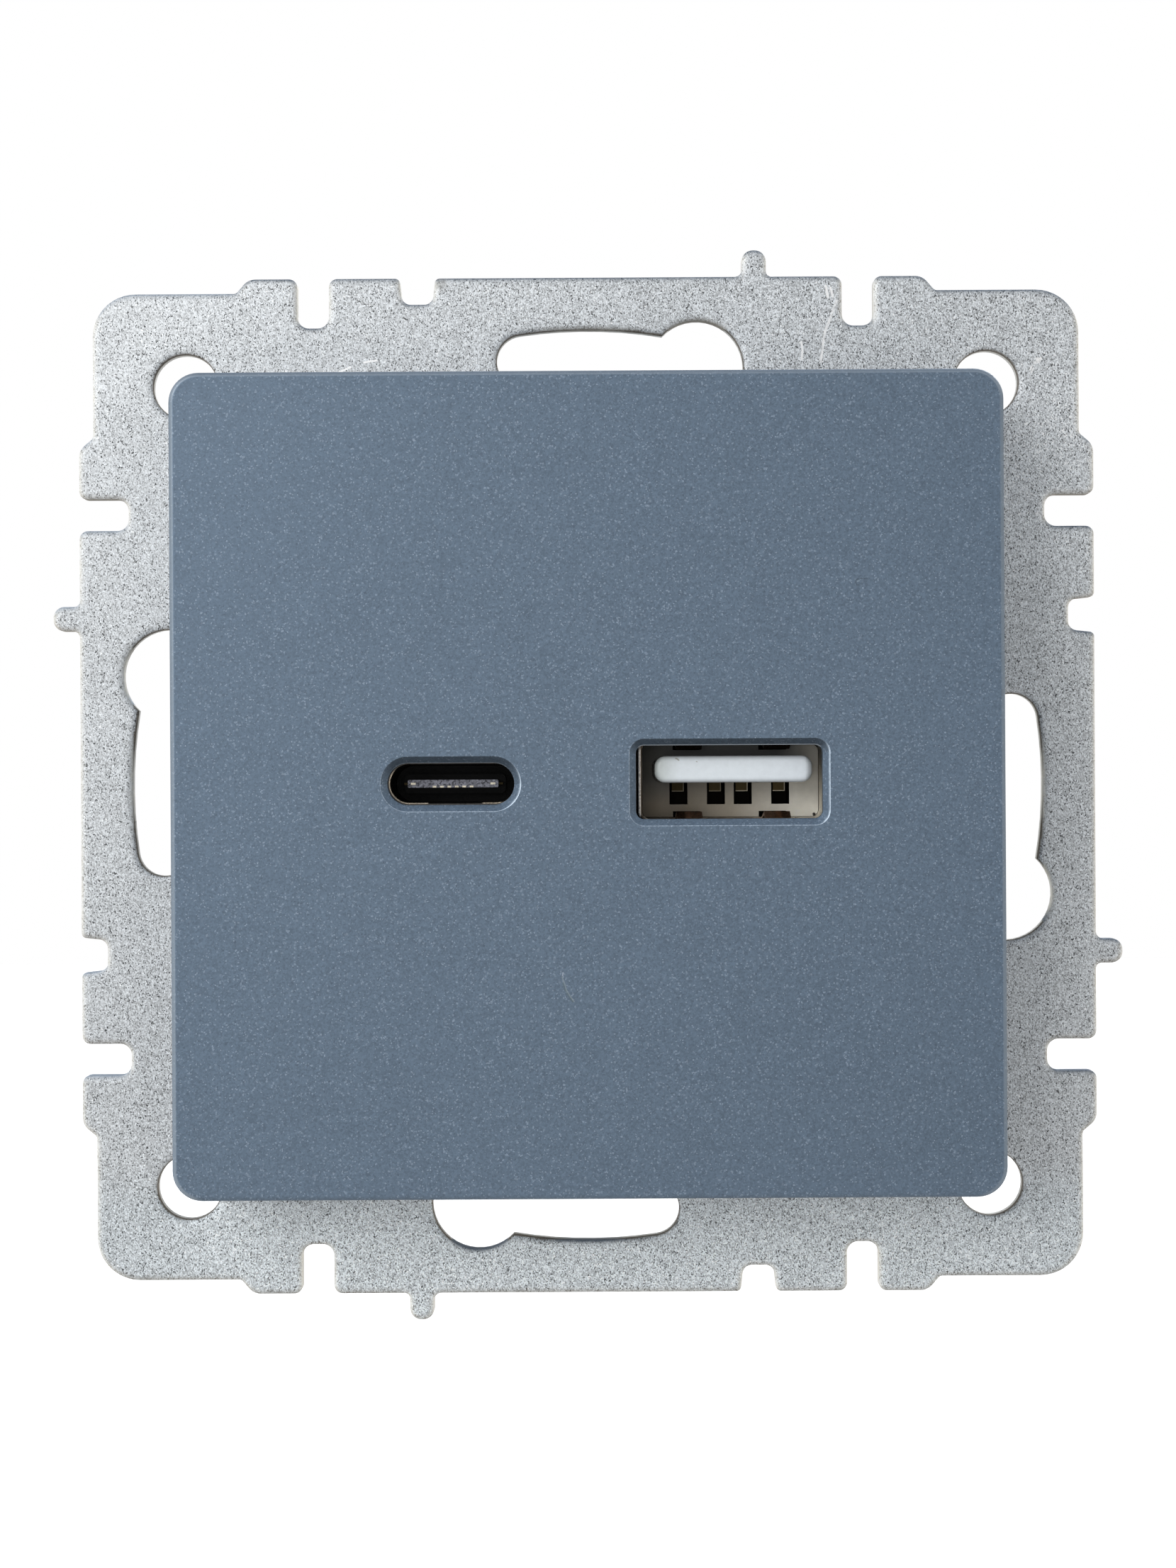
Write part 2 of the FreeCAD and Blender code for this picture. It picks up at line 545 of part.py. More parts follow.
def main():
    os.makedirs("parts", exist_ok=True)

    save("support_frame", make_support_frame())
    save("front_cover", make_cover())
    save("carrier", make_carrier())
    save("rear_housing", make_rear_housing())
    save("housing_screws", make_housing_screws())

    a_shell = make_a_shell()
    a_contacts = make_a_contacts()
    save("usb_a_shell", a_shell)
    save("usb_a_contacts", a_contacts)
    save("usb_a_insulator", make_a_insulator(a_contacts))

    c_shell = make_c_shell()
    c_contacts = make_c_contacts()
    c_plate = make_c_mid_plate()
    save("usb_c_shell", c_shell)
    save("usb_c_contacts", c_contacts)
    save("usb_c_mid_plate", c_plate)
    save("usb_c_insulator", make_c_insulator(c_contacts, c_plate))

    # header that links the two boards
    header_z = [-12.3, -9.76, -7.22, -4.68]
    pins = [box(17.6 - 0.32, 17.6 + 0.32, 3.6, 24.6, z - 0.32, z + 0.32) for z in header_z]
    save("link_header_pins", pins)
    spacer = fuse([box(16.35, 18.85, 9.6, 12.1, -13.6, -3.4), box(16.35, 18.85, 19.4, 21.9, -13.6, -3.4)]
                  + [box(16.9, 18.3, 11.9, 19.6, z - 0.8, z + 0.8) for z in header_z])
    save("link_header_spacer", spacer.cut(pins).removeSplitter())

    # connector board
    board = rr(0, 0, 38.4, 38.4, 3.3, BOARD1_Y, BOARD1_Y + BOARD_T)
    save("connector_board", board.cut([a_shell, c_shell] + a_contacts + pins).removeSplitter())
    save("charge_controller", rr(0, 8.0, 4.0, 4.0, 0.1, BOARD1_Y - 0.85, BOARD1_Y))
    chips = []
    for x, z in ((-4.0, 10.4), (-4.0, 7.6), (4.2, 10.4), (4.2, 7.6), (-1.6, 4.2), (1.6, 4.2), (-8.0, 9.0), (8.0, 9.0),
                 (-9.0, -6.5), (-5.5, -6.5), (9.5, -7.0), (12.5, -7.0)):
        chips.append(box(x - 0.8, x + 0.8, BOARD1_Y - 0.5, BOARD1_Y, z - 0.4, z + 0.4))
    save("chip_parts", chips)

    # transformer
    core, bobbin, winding, tpins = make_transformer()
    save("transformer_core", core)
    save("transformer_bobbin", bobbin)
    save("transformer_winding", winding)
    save("transformer_pins", tpins)

    # through-hole parts on the power board
    in_caps = [make_can(-9.9, -13.6, 4.0, 10.2, 1.75), make_can(-14.7, -5.0, 4.0, 10.2, 1.75)]
    save("input_capacitors", in_caps)
    out_caps = [make_can(16.15, 4.7, 2.6, 13.2, 1.25), make_can(10.6, 4.7, 2.6, 13.2, 1.25)]
    save("output_capacitors", out_caps)
    fuse_r = cyl_x(19.9, 4.2, 1.6, -16.6, -10.0)
    fuse_r = fuse_r.makeFillet(0.5, [e for e in fuse_r.Edges if e.BoundBox.XLength < 1e-6])
    fuse_r = fuse([fuse_r, make_wire_bend(-16.0, 4.2, 19.9, -1, 1.6), make_wire_bend(-10.6, 4.2, 19.9, 1, 1.6)])
    save("fuse_resistor", fuse_r)
    choke = fuse([cyl_y(-5.9, -6.6, 2.7, 20.8, 21.8), cyl_y(-5.9, -6.6, 2.3, 15.8, 21.0), cyl_y(-5.9, -6.6, 2.7, 15.2, 16.2)]
                 + [cyl_y(-5.9 + s * 1.25, -6.6, 0.3, 21.5, 24.4) for s in (-1, 1)])
    save("line_choke", choke)
    disc = Part.makeCylinder(3.1, 2.4, V(0, 17.4, 2.4), V(0, 0, 1))
    disc = disc.makeFillet(0.9, disc.Edges[0:1] + disc.Edges[2:3])
    disc = fuse([disc] + [cyl_y(s * 2.5, 3.6, 0.3, 18.6, 24.4) for s in (-1, 1)])
    save("safety_capacitor", disc)

    # surface-mounted parts
    bridge = fuse([rr(-6.2, -0.6, 4.8, 3.9, 0.15, 19.6, 21.9)]
                  + [box(-6.2 + dx - 0.35, -6.2 + dx + 0.35, 21.6, 22.0, -0.6 + s * 2.45 - 0.6, -0.6 + s * 2.45 + 0.6)
                     for dx in (-1.27, 1.27) for s in (-1, 1)])
    save("bridge_rectifier", bridge)
    y0 = BOARD2_Y + BOARD_T
    chip = fuse([rr(6.0, -7.0, 4.9, 3.9, 0.1, y0 + 0.15, y0 + 1.6)]
                + [box(6.0 + dx - 0.2, 6.0 + dx + 0.2, y0, y0 + 0.35, -7.0 + s * 2.4 - 0.65, -7.0 + s * 2.4 + 0.65)
                   for dx in (-1.905, -0.635, 0.635, 1.905) for s in (-1, 1)])
    save("power_controller", chip)
    opto = fuse([rr(-1.5, -9.0, 4.4, 4.1, 0.1, y0 + 0.15, y0 + 2.1)]
                + [box(-1.5 + dx - 0.25, -1.5 + dx + 0.25, y0, y0 + 0.35, -9.0 + s * 2.7 - 0.8, -9.0 + s * 2.7 + 0.8)
                   for dx in (-1.27, 1.27) for s in (-1, 1)])
    save("optocoupler", opto)
    rect = fuse([rr(13.2, -8.0, 3.6, 5.4, 0.1, y0 + 0.1, y0 + 1.2),
                 box(12.0, 14.4, y0, y0 + 0.3, -11.2, -10.5), box(12.0, 14.4, y0, y0 + 0.3, -5.5, -4.8)])
    save("output_rectifier", rect)

    # terminals
    save("terminal_block", make_terminal_block())
    bars = {}
    for name, s in (("line", -1), ("neutral", 1)):
        bars[name] = make_bar(s)
        save(name + "_bar", bars[name])
        save(name + "_clamp_cage", make_cage(s))
        save(name + "_clamp_screw", make_clamp_screw(s))

    # power board, notched round the housing's columns
    board = box(-19.2, 19.2, BOARD2_Y, y0, -19.2, 8.2)
    board = board.cut([box(s * 16.4 - 3.1, s * 16.4 + 3.1, 20, 25, -20, -14.1) for s in (-1, 1)])
    holes = pins + tpins + in_caps + out_caps + [fuse_r, choke, disc] + list(bars.values())
    save("power_board", board.cut(holes).removeSplitter())

    # insulating sheet between the transformer and the connector board
    sheet = box(-18.9, 18.9, 9.05, 9.35, -18.9, 8.0)
    sheet = sheet.cut([box(s * 16.4 - 2.6, s * 16.4 + 2.6, 9, 10, -20, -13.8) for s in (-1, 1)]
                      + [box(16.2, 19.0, 9, 10, -13.8, -3.2)])
    save("insulating_sheet", sheet.removeSplitter())


main()
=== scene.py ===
import bpy
import math
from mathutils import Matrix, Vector


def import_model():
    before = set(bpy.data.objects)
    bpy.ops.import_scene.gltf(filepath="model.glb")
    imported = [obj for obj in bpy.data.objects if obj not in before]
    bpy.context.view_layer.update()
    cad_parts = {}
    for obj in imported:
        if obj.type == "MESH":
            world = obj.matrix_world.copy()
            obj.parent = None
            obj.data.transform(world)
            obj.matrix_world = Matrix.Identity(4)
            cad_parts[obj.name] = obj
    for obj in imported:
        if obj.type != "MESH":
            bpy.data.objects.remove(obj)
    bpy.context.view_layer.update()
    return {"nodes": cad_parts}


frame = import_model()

NODES = frame["nodes"]
scene = bpy.context.scene


# ------------------------------------------------------------ material helper
class Mat:
    """A node material with its pattern space in millimetres of the object's own frame."""

    def __init__(self, name, rough=0.5, metallic=0.0, spec=0.5):
        self.mat = bpy.data.materials.new(name)
        self.mat.use_nodes = True
        self.nt = self.mat.node_tree
        self.nt.nodes.clear()
        self.out = self.node("ShaderNodeOutputMaterial")
        self.bsdf = self.node("ShaderNodeBsdfPrincipled")
        self.link(self.bsdf.outputs["BSDF"], self.out.inputs["Surface"])
        self.bsdf.inputs["Roughness"].default_value = rough
        self.bsdf.inputs["Metallic"].default_value = metallic
        self.bsdf.inputs["Specular IOR Level"].default_value = spec
        self.tc = self.node("ShaderNodeTexCoord")
        self.mm = self.vmath("SCALE", self.tc.outputs["Object"], scale=1000.0)
        self.normal = None

    def node(self, kind):
        return self.nt.nodes.new(kind)

    def link(self, a, b):
        self.nt.links.new(a, b)

    def put(self, socket, value):
        if isinstance(value, bpy.types.NodeSocket):
            self.link(value, socket)
        elif isinstance(value, (tuple, list)) and len(value) == 3 and socket.type == "RGBA":
            socket.default_value = (value[0], value[1], value[2], 1.0)
        else:
            socket.default_value = value

    def math(self, op, a, b=None, c=None, clamp=False):
        n = self.node("ShaderNodeMath")
        n.operation = op
        n.use_clamp = clamp
        self.put(n.inputs[0], a)
        if b is not None:
            self.put(n.inputs[1], b)
        if c is not None:
            self.put(n.inputs[2], c)
        return n.outputs[0]

    def vmath(self, op, a, b=None, scale=None):
        n = self.node("ShaderNodeVectorMath")
        n.operation = op
        self.put(n.inputs[0], a)
        if b is not None:
            self.put(n.inputs[1], b)
        if scale is not None:
            self.put(n.inputs["Scale"], scale)
        return n.outputs["Value"] if op in ("DOT_PRODUCT", "LENGTH", "DISTANCE") else n.outputs["Vector"]

    def mapping(self, vec, scale=(1, 1, 1), rot=(0, 0, 0), loc=(0, 0, 0)):
        n = self.node("ShaderNodeMapping")
        self.put(n.inputs["Vector"], vec)
        n.inputs["Scale"].default_value = scale
        n.inputs["Rotation"].default_value = rot
        n.inputs["Location"].default_value = loc
        return n.outputs["Vector"]

    def noise(self, scale, detail=2.0, rough=0.5, vec=None, distortion=0.0):
        n = self.node("ShaderNodeTexNoise")
        self.put(n.inputs["Vector"], self.mm if vec is None else vec)
        n.inputs["Scale"].default_value = scale
        n.inputs["Detail"].default_value = detail
        n.inputs["Roughness"].default_value = rough
        n.inputs["Distortion"].default_value = distortion
        return n.outputs["Fac"]

    def voronoi(self, scale, vec=None, feature="F1", out="Distance", rand=1.0):
        n = self.node("ShaderNodeTexVoronoi")
        n.feature = feature
        self.put(n.inputs["Vector"], self.mm if vec is None else vec)
        n.inputs["Scale"].default_value = scale
        n.inputs["Randomness"].default_value = rand
        return n.outputs[out]

    def cells(self, scale, vec=None):
        """Three even random values per grain of a cell pattern."""
        n = self.node("ShaderNodeTexVoronoi")
        self.put(n.inputs["Vector"], self.mm if vec is None else vec)
        n.inputs["Scale"].default_value = scale
        return self.sep(n.outputs["Color"])

    def sep(self, vec):
        n = self.node("ShaderNodeSeparateXYZ")
        self.put(n.inputs[0], vec)
        return n.outputs[0], n.outputs[1], n.outputs[2]

    def remap(self, v, a, b, c=0.0, d=1.0, smooth=False):
        n = self.node("ShaderNodeMapRange")
        n.interpolation_type = "SMOOTHSTEP" if smooth else "LINEAR"
        n.clamp = True
        self.put(n.inputs["Value"], v)
        n.inputs["From Min"].default_value = a
        n.inputs["From Max"].default_value = b
        n.inputs["To Min"].default_value = c
        n.inputs["To Max"].default_value = d
        return n.outputs["Result"]

    def ramp(self, fac, stops):
        n = self.node("ShaderNodeValToRGB")
        el = n.color_ramp.elements
        while len(el) < len(stops):
            el.new(0.5)
        for e, (p, c) in zip(el, stops):
            e.position = p
            e.color = (c[0], c[1], c[2], 1.0)
        self.put(n.inputs["Fac"], fac)
        return n.outputs["Color"]

    def mix(self, fac, a, b, kind="MIX"):
        n = self.node("ShaderNodeMix")
        n.data_type = "RGBA"
        n.blend_type = kind
        self.put(n.inputs[0], fac)
        self.put(n.inputs[6], a)
        self.put(n.inputs[7], b)
        return n.outputs[2]

    def mul(self, colour, value):
        """Colour times a grey value."""
        n = self.node("ShaderNodeVectorMath")
        n.operation = "SCALE"
        self.put(n.inputs[0], colour)
        self.put(n.inputs["Scale"], value)
        return n.outputs["Vector"]

    def bump(self, height, distance_mm, strength=1.0):
        n = self.node("ShaderNodeBump")
        self.put(n.inputs["Height"], height)
        n.inputs["Distance"].default_value = distance_mm * 0.001
        n.inputs["Strength"].default_value = strength
        if self.normal is not None:
            self.link(self.normal, n.inputs["Normal"])
        self.normal = n.outputs["Normal"]
        self.link(self.normal, self.bsdf.inputs["Normal"])
        return self.normal

    def base(self, value):
        self.put(self.bsdf.inputs["Base Color"], value)

    def rough(self, value):
        self.put(self.bsdf.inputs["Roughness"], value)

    def stroke(self, points, half, feather=0.5):
        """1 along a polyline of (x, z) millimetre points on a flat front, 0 away from it."""
        x, _, z = self.sep(self.mm)
        flat = self.node("ShaderNodeCombineXYZ")
        self.link(x, flat.inputs[0])
        self.link(z, flat.inputs[2])
        best = None
        for (x0, z0), (x1, z1) in zip(points, points[1:]):
            d = Vector((x1 - x0, 0.0, z1 - z0))
            rel = self.vmath("SUBTRACT", flat.outputs[0], (x0, 0.0, z0))
            t = self.math("DIVIDE", self.vmath("DOT_PRODUCT", rel, tuple(d)), max(d.length_squared, 1e-9))
            t = self.remap(t, 0.0, 1.0)
            near = self.vmath("SCALE", tuple(d), scale=t)
            dist = self.vmath("LENGTH", self.vmath("SUBTRACT", rel, near))
            best = dist if best is None else self.math("MINIMUM", best, dist)
        return self.remap(best, half * (1.0 - feather), half * (1.0 + feather), 1.0, 0.0, smooth=True)

    def outside(self, cx, cz, w, h, r):
        """Millimetres outwards from a rounded rectangle's edge, seen along Y."""
        x, _, z = self.sep(self.mm)
        qx = self.math("MAXIMUM", self.math("SUBTRACT", self.math("ABSOLUTE", self.math("SUBTRACT", x, cx)), w / 2 - r), 0.0)
        qz = self.math("MAXIMUM", self.math("SUBTRACT", self.math("ABSOLUTE", self.math("SUBTRACT", z, cz)), h / 2 - r), 0.0)
        d = self.math("SQRT", self.math("ADD", self.math("MULTIPLY", qx, qx), self.math("MULTIPLY", qz, qz)))
        return self.math("SUBTRACT", d, r)

    def side(self):
        """0 on faces that look along Y, 1 on walls and rolled edges (object-space normal)."""
        _, ny, _ = self.sep(self.tc.outputs["Normal"])
        return self.remap(self.math("ABSOLUTE", ny), 0.55, 0.985, 1.0, 0.0)


def assign(mat, *names):
    for n in names:
        o = NODES[n]
        o.data.materials.clear()
        o.data.materials.append(mat)


# ------------------------------------------------------------------ materials
def cover_paint():
    m = Mat("cover_paint", rough=0.5, metallic=0.45, spec=0.35)
    base = (0.133, 0.184, 0.248)
    # metallic paint: every grain a little lighter or darker, a few bright flakes
    r, g, b = m.cells(9.0)
    fr, fg, _ = m.cells(13.0)
    grain = m.noise(4.5, 3.0, 0.65)
    soft = m.noise(0.35, 2.0, 0.5)
    tone = m.math("ADD", m.remap(r, 0.0, 1.0, 0.87, 1.13), m.remap(grain, 0.28, 0.72, -0.05, 0.05))
    tone = m.math("ADD", tone, m.remap(soft, 0.3, 0.7, -0.02, 0.02))
    # painted shade: the paint is darker towards the lower right
    px, _, pz = m.sep(m.mm)
    tone = m.math("SUBTRACT", tone, m.math("MULTIPLY", m.remap(px, -5.0, 24.0), m.remap(pz, 2.0, -24.0, 0.0, 0.05)))
    flake = m.math("MAXIMUM", m.math("MULTIPLY", m.remap(g, 0.94, 0.99), 0.7), m.remap(fr, 0.955, 0.985))
    col = m.mul(base, tone)
    col = m.mix(m.math("MULTIPLY", flake, 0.50), col, (0.38, 0.46, 0.57))
    col = m.mix(m.remap(b, 0.06, 0.01, 0.0, 0.35), col, (0.075, 0.10, 0.14))
    # small marks seen on the front: a hair line, a bright speck, a dark chip, a nick on the right edge
    hair = m.stroke([(-1.80, -12.78), (-1.63, -13.20), (-1.51, -13.64), (-1.34, -13.92), (-1.21, -14.15), (-1.00, -14.42)], 0.038)
    shade = m.stroke([(-1.74, -13.20), (-1.60, -13.64), (-1.42, -13.97), (-1.10, -14.42)], 0.05)
    col = m.mix(m.math("MULTIPLY", shade, 0.35), col, (0.11, 0.15, 0.14))
    col = m.mix(m.math("MULTIPLY", hair, 0.6), col, (0.27, 0.32, 0.35))
    speck = m.stroke([(-1.76, -12.68), (-1.73, -12.52)], 0.05)
    col = m.mix(m.math("MULTIPLY", speck, 0.7), col, (0.40, 0.46, 0.55))
    chip = m.stroke([(18.05, 13.62), (17.90, 13.50), (17.88, 13.36), (17.95, 13.22), (18.08, 13.18)], 0.045)
    streak = m.stroke([(18.23, 13.62), (18.65, 13.62)], 0.045)
    col = m.mix(m.math("MULTIPLY", m.math("MAXIMUM", chip, streak), 0.55), col, (0.075, 0.10, 0.13))
    glint = m.stroke([(17.99, 13.42), (18.12, 13.50)], 0.04)
    col = m.mix(m.math("MULTIPLY", glint, 0.55), col, (0.30, 0.36, 0.42))
    nick = m.stroke([(27.62, 6.14), (27.60, 5.82)], 0.09)
    col = m.mix(m.math("MULTIPLY", nick, 0.6), col, (0.07, 0.09, 0.12))
    # painted light and shade over the edges: painted shade under the ports' upper chamfers, painted light on the lower
    # ones, a painted highlight along the outer line of the lower and right ones, and round the plate's own edge
    x, _, z = m.sep(m.mm)
    nx, ny, nz = m.sep(m.tc.outputs["Normal"])
    port = m.math("MULTIPLY", m.remap(m.math("ABSOLUTE", x), 18.6, 18.5), m.remap(m.math("ABSOLUTE", z), 4.2, 4.1))
    slope = m.math("MULTIPLY", port, m.remap(ny, -0.985, -0.86))
    chamfer_light_and_shade = m.math("ADD", m.remap(nz, -0.55, 0.10, 0.42, 1.05), m.remap(nz, 0.10, 0.6, 0.0, 0.22))
    chamfer_light_and_shade = m.math("ADD", chamfer_light_and_shade, m.remap(nx, -0.1, -0.6, 0.0, 0.02))
    col = m.mix(slope, col, m.mul(col, chamfer_light_and_shade))
    # painted highlight: a pale line along the outer edge of the chamfers, strongest on the lower and right ones
    line = m.math("MULTIPLY", m.remap(ny, -0.995, -0.96), m.remap(ny, -0.80, -0.86))
    line = m.math("MULTIPLY", m.math("MULTIPLY", line, m.remap(nz, -0.22, -0.05)), port)
    line = m.math("MULTIPLY", line, m.remap(r, 0.0, 1.0, 0.35, 1.0))
    low = m.remap(m.math("ADD", m.math("MULTIPLY", nx, -1.0), m.math("MULTIPLY", nz, 0.6)), 0.1, 0.4, 0.55, 1.0)
    col = m.mix(m.math("MULTIPLY", line, low), col, (0.60, 0.70, 0.82))
    # the right-hand chamfers catch the light along their outer half, most at the lower corner
    off = m.math("MINIMUM", m.outside(-9.15, 0.10, 8.48, 2.80, 1.399), m.outside(9.43, 0.14, 12.48, 4.92, 0.55))
    band = m.math("MULTIPLY", m.remap(off, 0.32, 0.41), m.remap(off, 0.57, 0.50))
    band = m.math("MULTIPLY", m.math("MULTIPLY", band, m.remap(nx, -0.18, -0.42)), port)
    band = m.math("MULTIPLY", band, m.math("MULTIPLY", m.remap(nz, -0.50, -0.10), m.remap(nz, 0.66, 0.45)))
    band = m.math("MULTIPLY", band, m.remap(m.noise(3.0, 2.0, 0.6), 0.35, 0.60, 0.45, 1.0))
    band = m.math("MULTIPLY", band, m.remap(nz, -0.1, 0.30, 0.55, 1.0))
    col = m.mix(m.math("MULTIPLY", band, 0.95), col, (0.72, 0.84, 0.96))
    _, y, _ = m.sep(m.mm)
    # painted highlight: a pale line under the openings' upper lip, faint at the type C port
    lip = m.math("MULTIPLY", m.math("MULTIPLY", m.remap(y, -10.43, -10.40), m.remap(y, -10.33, -10.35)), m.remap(nz, -0.45, -0.60))
    col = m.mix(m.math("MULTIPLY", m.math("MULTIPLY", lip, port), m.remap(x, -3.0, 3.0, 0.25, 0.8)), col, (0.36, 0.40, 0.44))
    # painted highlight: pale lines along the plate's own rounded edge on the left, right and top
    rim = m.math("SUBTRACT", 1.0, port)
    edge = m.math("MULTIPLY", m.math("MULTIPLY", m.remap(ny, -0.998, -0.965), m.remap(ny, -0.40, -0.58)), rim)
    left = m.math("MULTIPLY", edge, m.remap(nx, -0.03, -0.16))
    right = m.math("MULTIPLY", edge, m.remap(nx, 0.03, 0.16))
    top = m.math("MULTIPLY", edge, m.remap(nz, 0.03, 0.16))
    col = m.mix(m.math("MULTIPLY", left, 0.50), col, (0.32, 0.37, 0.42))
    col = m.mix(m.math("MULTIPLY", right, 0.45), col, (0.28, 0.33, 0.39))
    col = m.mix(m.math("MULTIPLY", top, 0.60), col, (0.33, 0.39, 0.46))
    # painted highlight: a pale line on the upper part of the top edge's rounding
    brow = m.math("MULTIPLY", m.math("MULTIPLY", m.remap(y, -10.42, -10.50), m.remap(ny, -0.72, -0.55)), m.remap(nz, 0.35, 0.6))
    col = m.mix(m.math("MULTIPLY", brow, 0.75), col, (0.30, 0.36, 0.44))
    m.base(col)
    m.rough(m.remap(r, 0.0, 1.0, 0.43, 0.57))
    m.bump(grain, 0.012, 0.6)
    m.bump(m.noise(1.6, 2.0, 0.5), 0.02, 0.25)
    return m.mat


def zinc_steel():
    m = Mat("zinc_steel", rough=0.42, metallic=0.85, spec=0.5)
    base = (0.650, 0.674, 0.694)
    # blasted, zinc plated surface: fine slanted grains, salt and pepper, with dark pits
    slant = m.mapping(m.mm, scale=(1.0, 1.0, 0.75), rot=(0.0, math.radians(-38), 0.0))
    r, g, b = m.cells(14.5, vec=slant)
    grain = m.noise(5.0, 2.0, 0.6, vec=slant)
    cloud = m.noise(0.22, 3.0, 0.55)
    tone = m.math("ADD", m.remap(r, 0.0, 1.0, 0.66, 1.42), m.remap(grain, 0.30, 0.70, -0.05, 0.05))
    tone = m.math("ADD", tone, m.remap(cloud, 0.3, 0.7, -0.03, 0.03))
    # painted shade: darker on the left side and on the lower right, where the cover's shadow falls; painted light: a
    # brighter patch at the upper right; darker along the top edge towards the left
    fx, _, fz = m.sep(m.mm)
    film = m.math("MULTIPLY", m.math("MULTIPLY", m.remap(fx, -26.0, -30.0), m.remap(fz, 31.0, 25.0, 0.3, 1.0)), 0.12)
    low = m.math("MULTIPLY", m.remap(fx, 26.0, 30.0), m.math("MULTIPLY", m.remap(fz, 16.0, 6.0), m.remap(fz, -31.0, -26.0)))
    film = m.math("ADD", film, m.math("MULTIPLY", low, 0.085))
    high = m.math("MULTIPLY", m.remap(fx, 26.0, 30.0), m.math("MULTIPLY", m.remap(fz, 14.0, 19.0), m.remap(fz, 29.0, 25.0)))
    film = m.math("SUBTRACT", film, m.math("MULTIPLY", high, 0.09))
    film = m.math("ADD", film, m.math("MULTIPLY", m.remap(fz, 28.5, 30.0), m.remap(fx, 12.0, -12.0, 0.0, 0.045)))
    tone = m.math("MULTIPLY", tone, m.math("SUBTRACT", 1.0, film))
    pit = m.remap(g, 0.17, 0.07)
    tone = m.math("MULTIPLY", tone, m.remap(pit, 0.0, 1.0, 1.0, 0.14))
    tone = m.math("MULTIPLY", tone, m.remap(b, 0.90, 0.99, 1.0, 1.25))
    col = m.mul(m.mix(m.remap(fz, -26.5, -29.5), base, (0.674, 0.716, 0.744)), tone)
    # painted light and shade where the sheet was sheared and rolled over: a painted highlight in pale cream on the
    # sides (the cream partly the passivation's own tint), painted shade in dark blue on top, brown painted shade
    # underneath and in the holes
    soft = m.node("ShaderNodeBevel")
    soft.samples = 4
    soft.inputs["Radius"].default_value = 0.0007
    m.normal = soft.outputs["Normal"]
    x, _, z = m.sep(m.mm)
    reach = m.math("MAXIMUM", m.math("ABSOLUTE", x), m.math("ABSOLUTE", z))
    inner = m.remap(reach, 31.9, 31.75)
    _, ny, nz = m.sep(soft.outputs["Normal"])
    wall = m.mix(inner, m.remap(m.math("ABSOLUTE", ny), 0.72, 0.985, 1.0, 0.0), m.side())
    warm = m.noise(0.9, 3.0, 0.6)
    side = m.ramp(warm, [(0.30, (1.0, 0.99, 0.95)), (0.55, (1.0, 0.97, 0.88)), (0.75, (0.93, 0.88, 0.76))])
    # painted shade: dark blue on the top edges, paler at the upper left; brown underneath
    lip = m.mix(m.remap(x, -25.5, -23.5), (0.42, 0.50, 0.60), (0.12, 0.165, 0.23))
    side = m.mix(m.remap(nz, 0.28, 0.55), side, lip)
    side = m.mix(m.remap(nz, -0.25, -0.7), side, (0.34, 0.30, 0.24))
    # painted shade: brown inside the holes and slots
    bore = m.ramp(warm, [(0.35, (0.155, 0.120, 0.080)), (0.70, (0.090, 0.070, 0.045))])
    # the painted shade in the holes stays on the front part of the walls, deeper in they are pale
    _, y, _ = m.sep(m.mm)
    bore = m.mix(m.remap(y, -0.66, -0.46), bore, m.mul((0.88, 0.87, 0.82), m.remap(grain, 0.3, 0.7, 0.85, 1.05)))
    side = m.mix(inner, side, bore)
    col = m.mix(m.math("MULTIPLY", wall, 0.88), col, side)
    # painted shade: a crisp dark blue line along the top edges
    crisp = m.math("MULTIPLY", m.remap(nz, 0.42, 0.58), m.math("SUBTRACT", 1.0, inner))
    crisp = m.math("MULTIPLY", crisp, m.remap(warm, 0.35, 0.60, 0.95, 0.60))
    col = m.mix(crisp, col, lip)
    # scratches and scuffs on the face
    marks = m.stroke([(16.83, 34.80), (16.98, 34.02)], 0.085)
    marks = m.math("MAXIMUM", marks, m.stroke([(17.16, 34.68), (17.31, 34.08)], 0.08))
    long_one = m.stroke([(17.56, 33.76), (17.07, 32.38), (16.73, 31.56), (16.59, 30.50), (16.45, 29.49)], 0.085)
    marks = m.math("MAXIMUM", marks, m.math("MULTIPLY", long_one, m.remap(m.noise(2.2, 2.0, 0.6), 0.3, 0.6, 0.35, 1.0)))
    marks = m.math("MAXIMUM", marks, m.stroke([(15.10, 30.90), (15.17, 30.30), (15.13, 29.70)], 0.07))
    marks = m.math("MAXIMUM", marks, m.stroke([(-15.50, 29.62), (-15.05, 29.72), (-14.60, 29.75)], 0.06))
    marks = m.math("MAXIMUM", marks, m.stroke([(-17.34, 28.90), (-16.90, 29.12), (-16.46, 29.30)], 0.06))
    star = m.stroke([(31.44, 29.34), (31.60, 29.46), (31.74, 29.60)], 0.09)
    star = m.math("MAXIMUM", star, m.stroke([(31.60, 29.66), (31.62, 29.40)], 0.08))
    star = m.math("MAXIMUM", star, m.stroke([(31.84, 29.68), (31.72, 29.38)], 0.07))
    star = m.math("MAXIMUM", star, m.stroke([(31.24, 29.16), (31.08, 28.84)], 0.055))
    star = m.math("MAXIMUM", star, m.stroke([(31.32, 28.96), (31.16, 28.62)], 0.055))
    star = m.math("MULTIPLY", star, m.remap(grain, 0.35, 0.55, 0.4, 1.0))
    marks = m.math("MAXIMUM", marks, star)
    marks = m.math("MULTIPLY", m.math("MULTIPLY", marks, m.math("SUBTRACT", 1.0, wall)), m.remap(y, -0.45, -0.65))
    col = m.mix(m.math("MULTIPLY", marks, 0.95), col, (1.0, 1.0, 1.0))
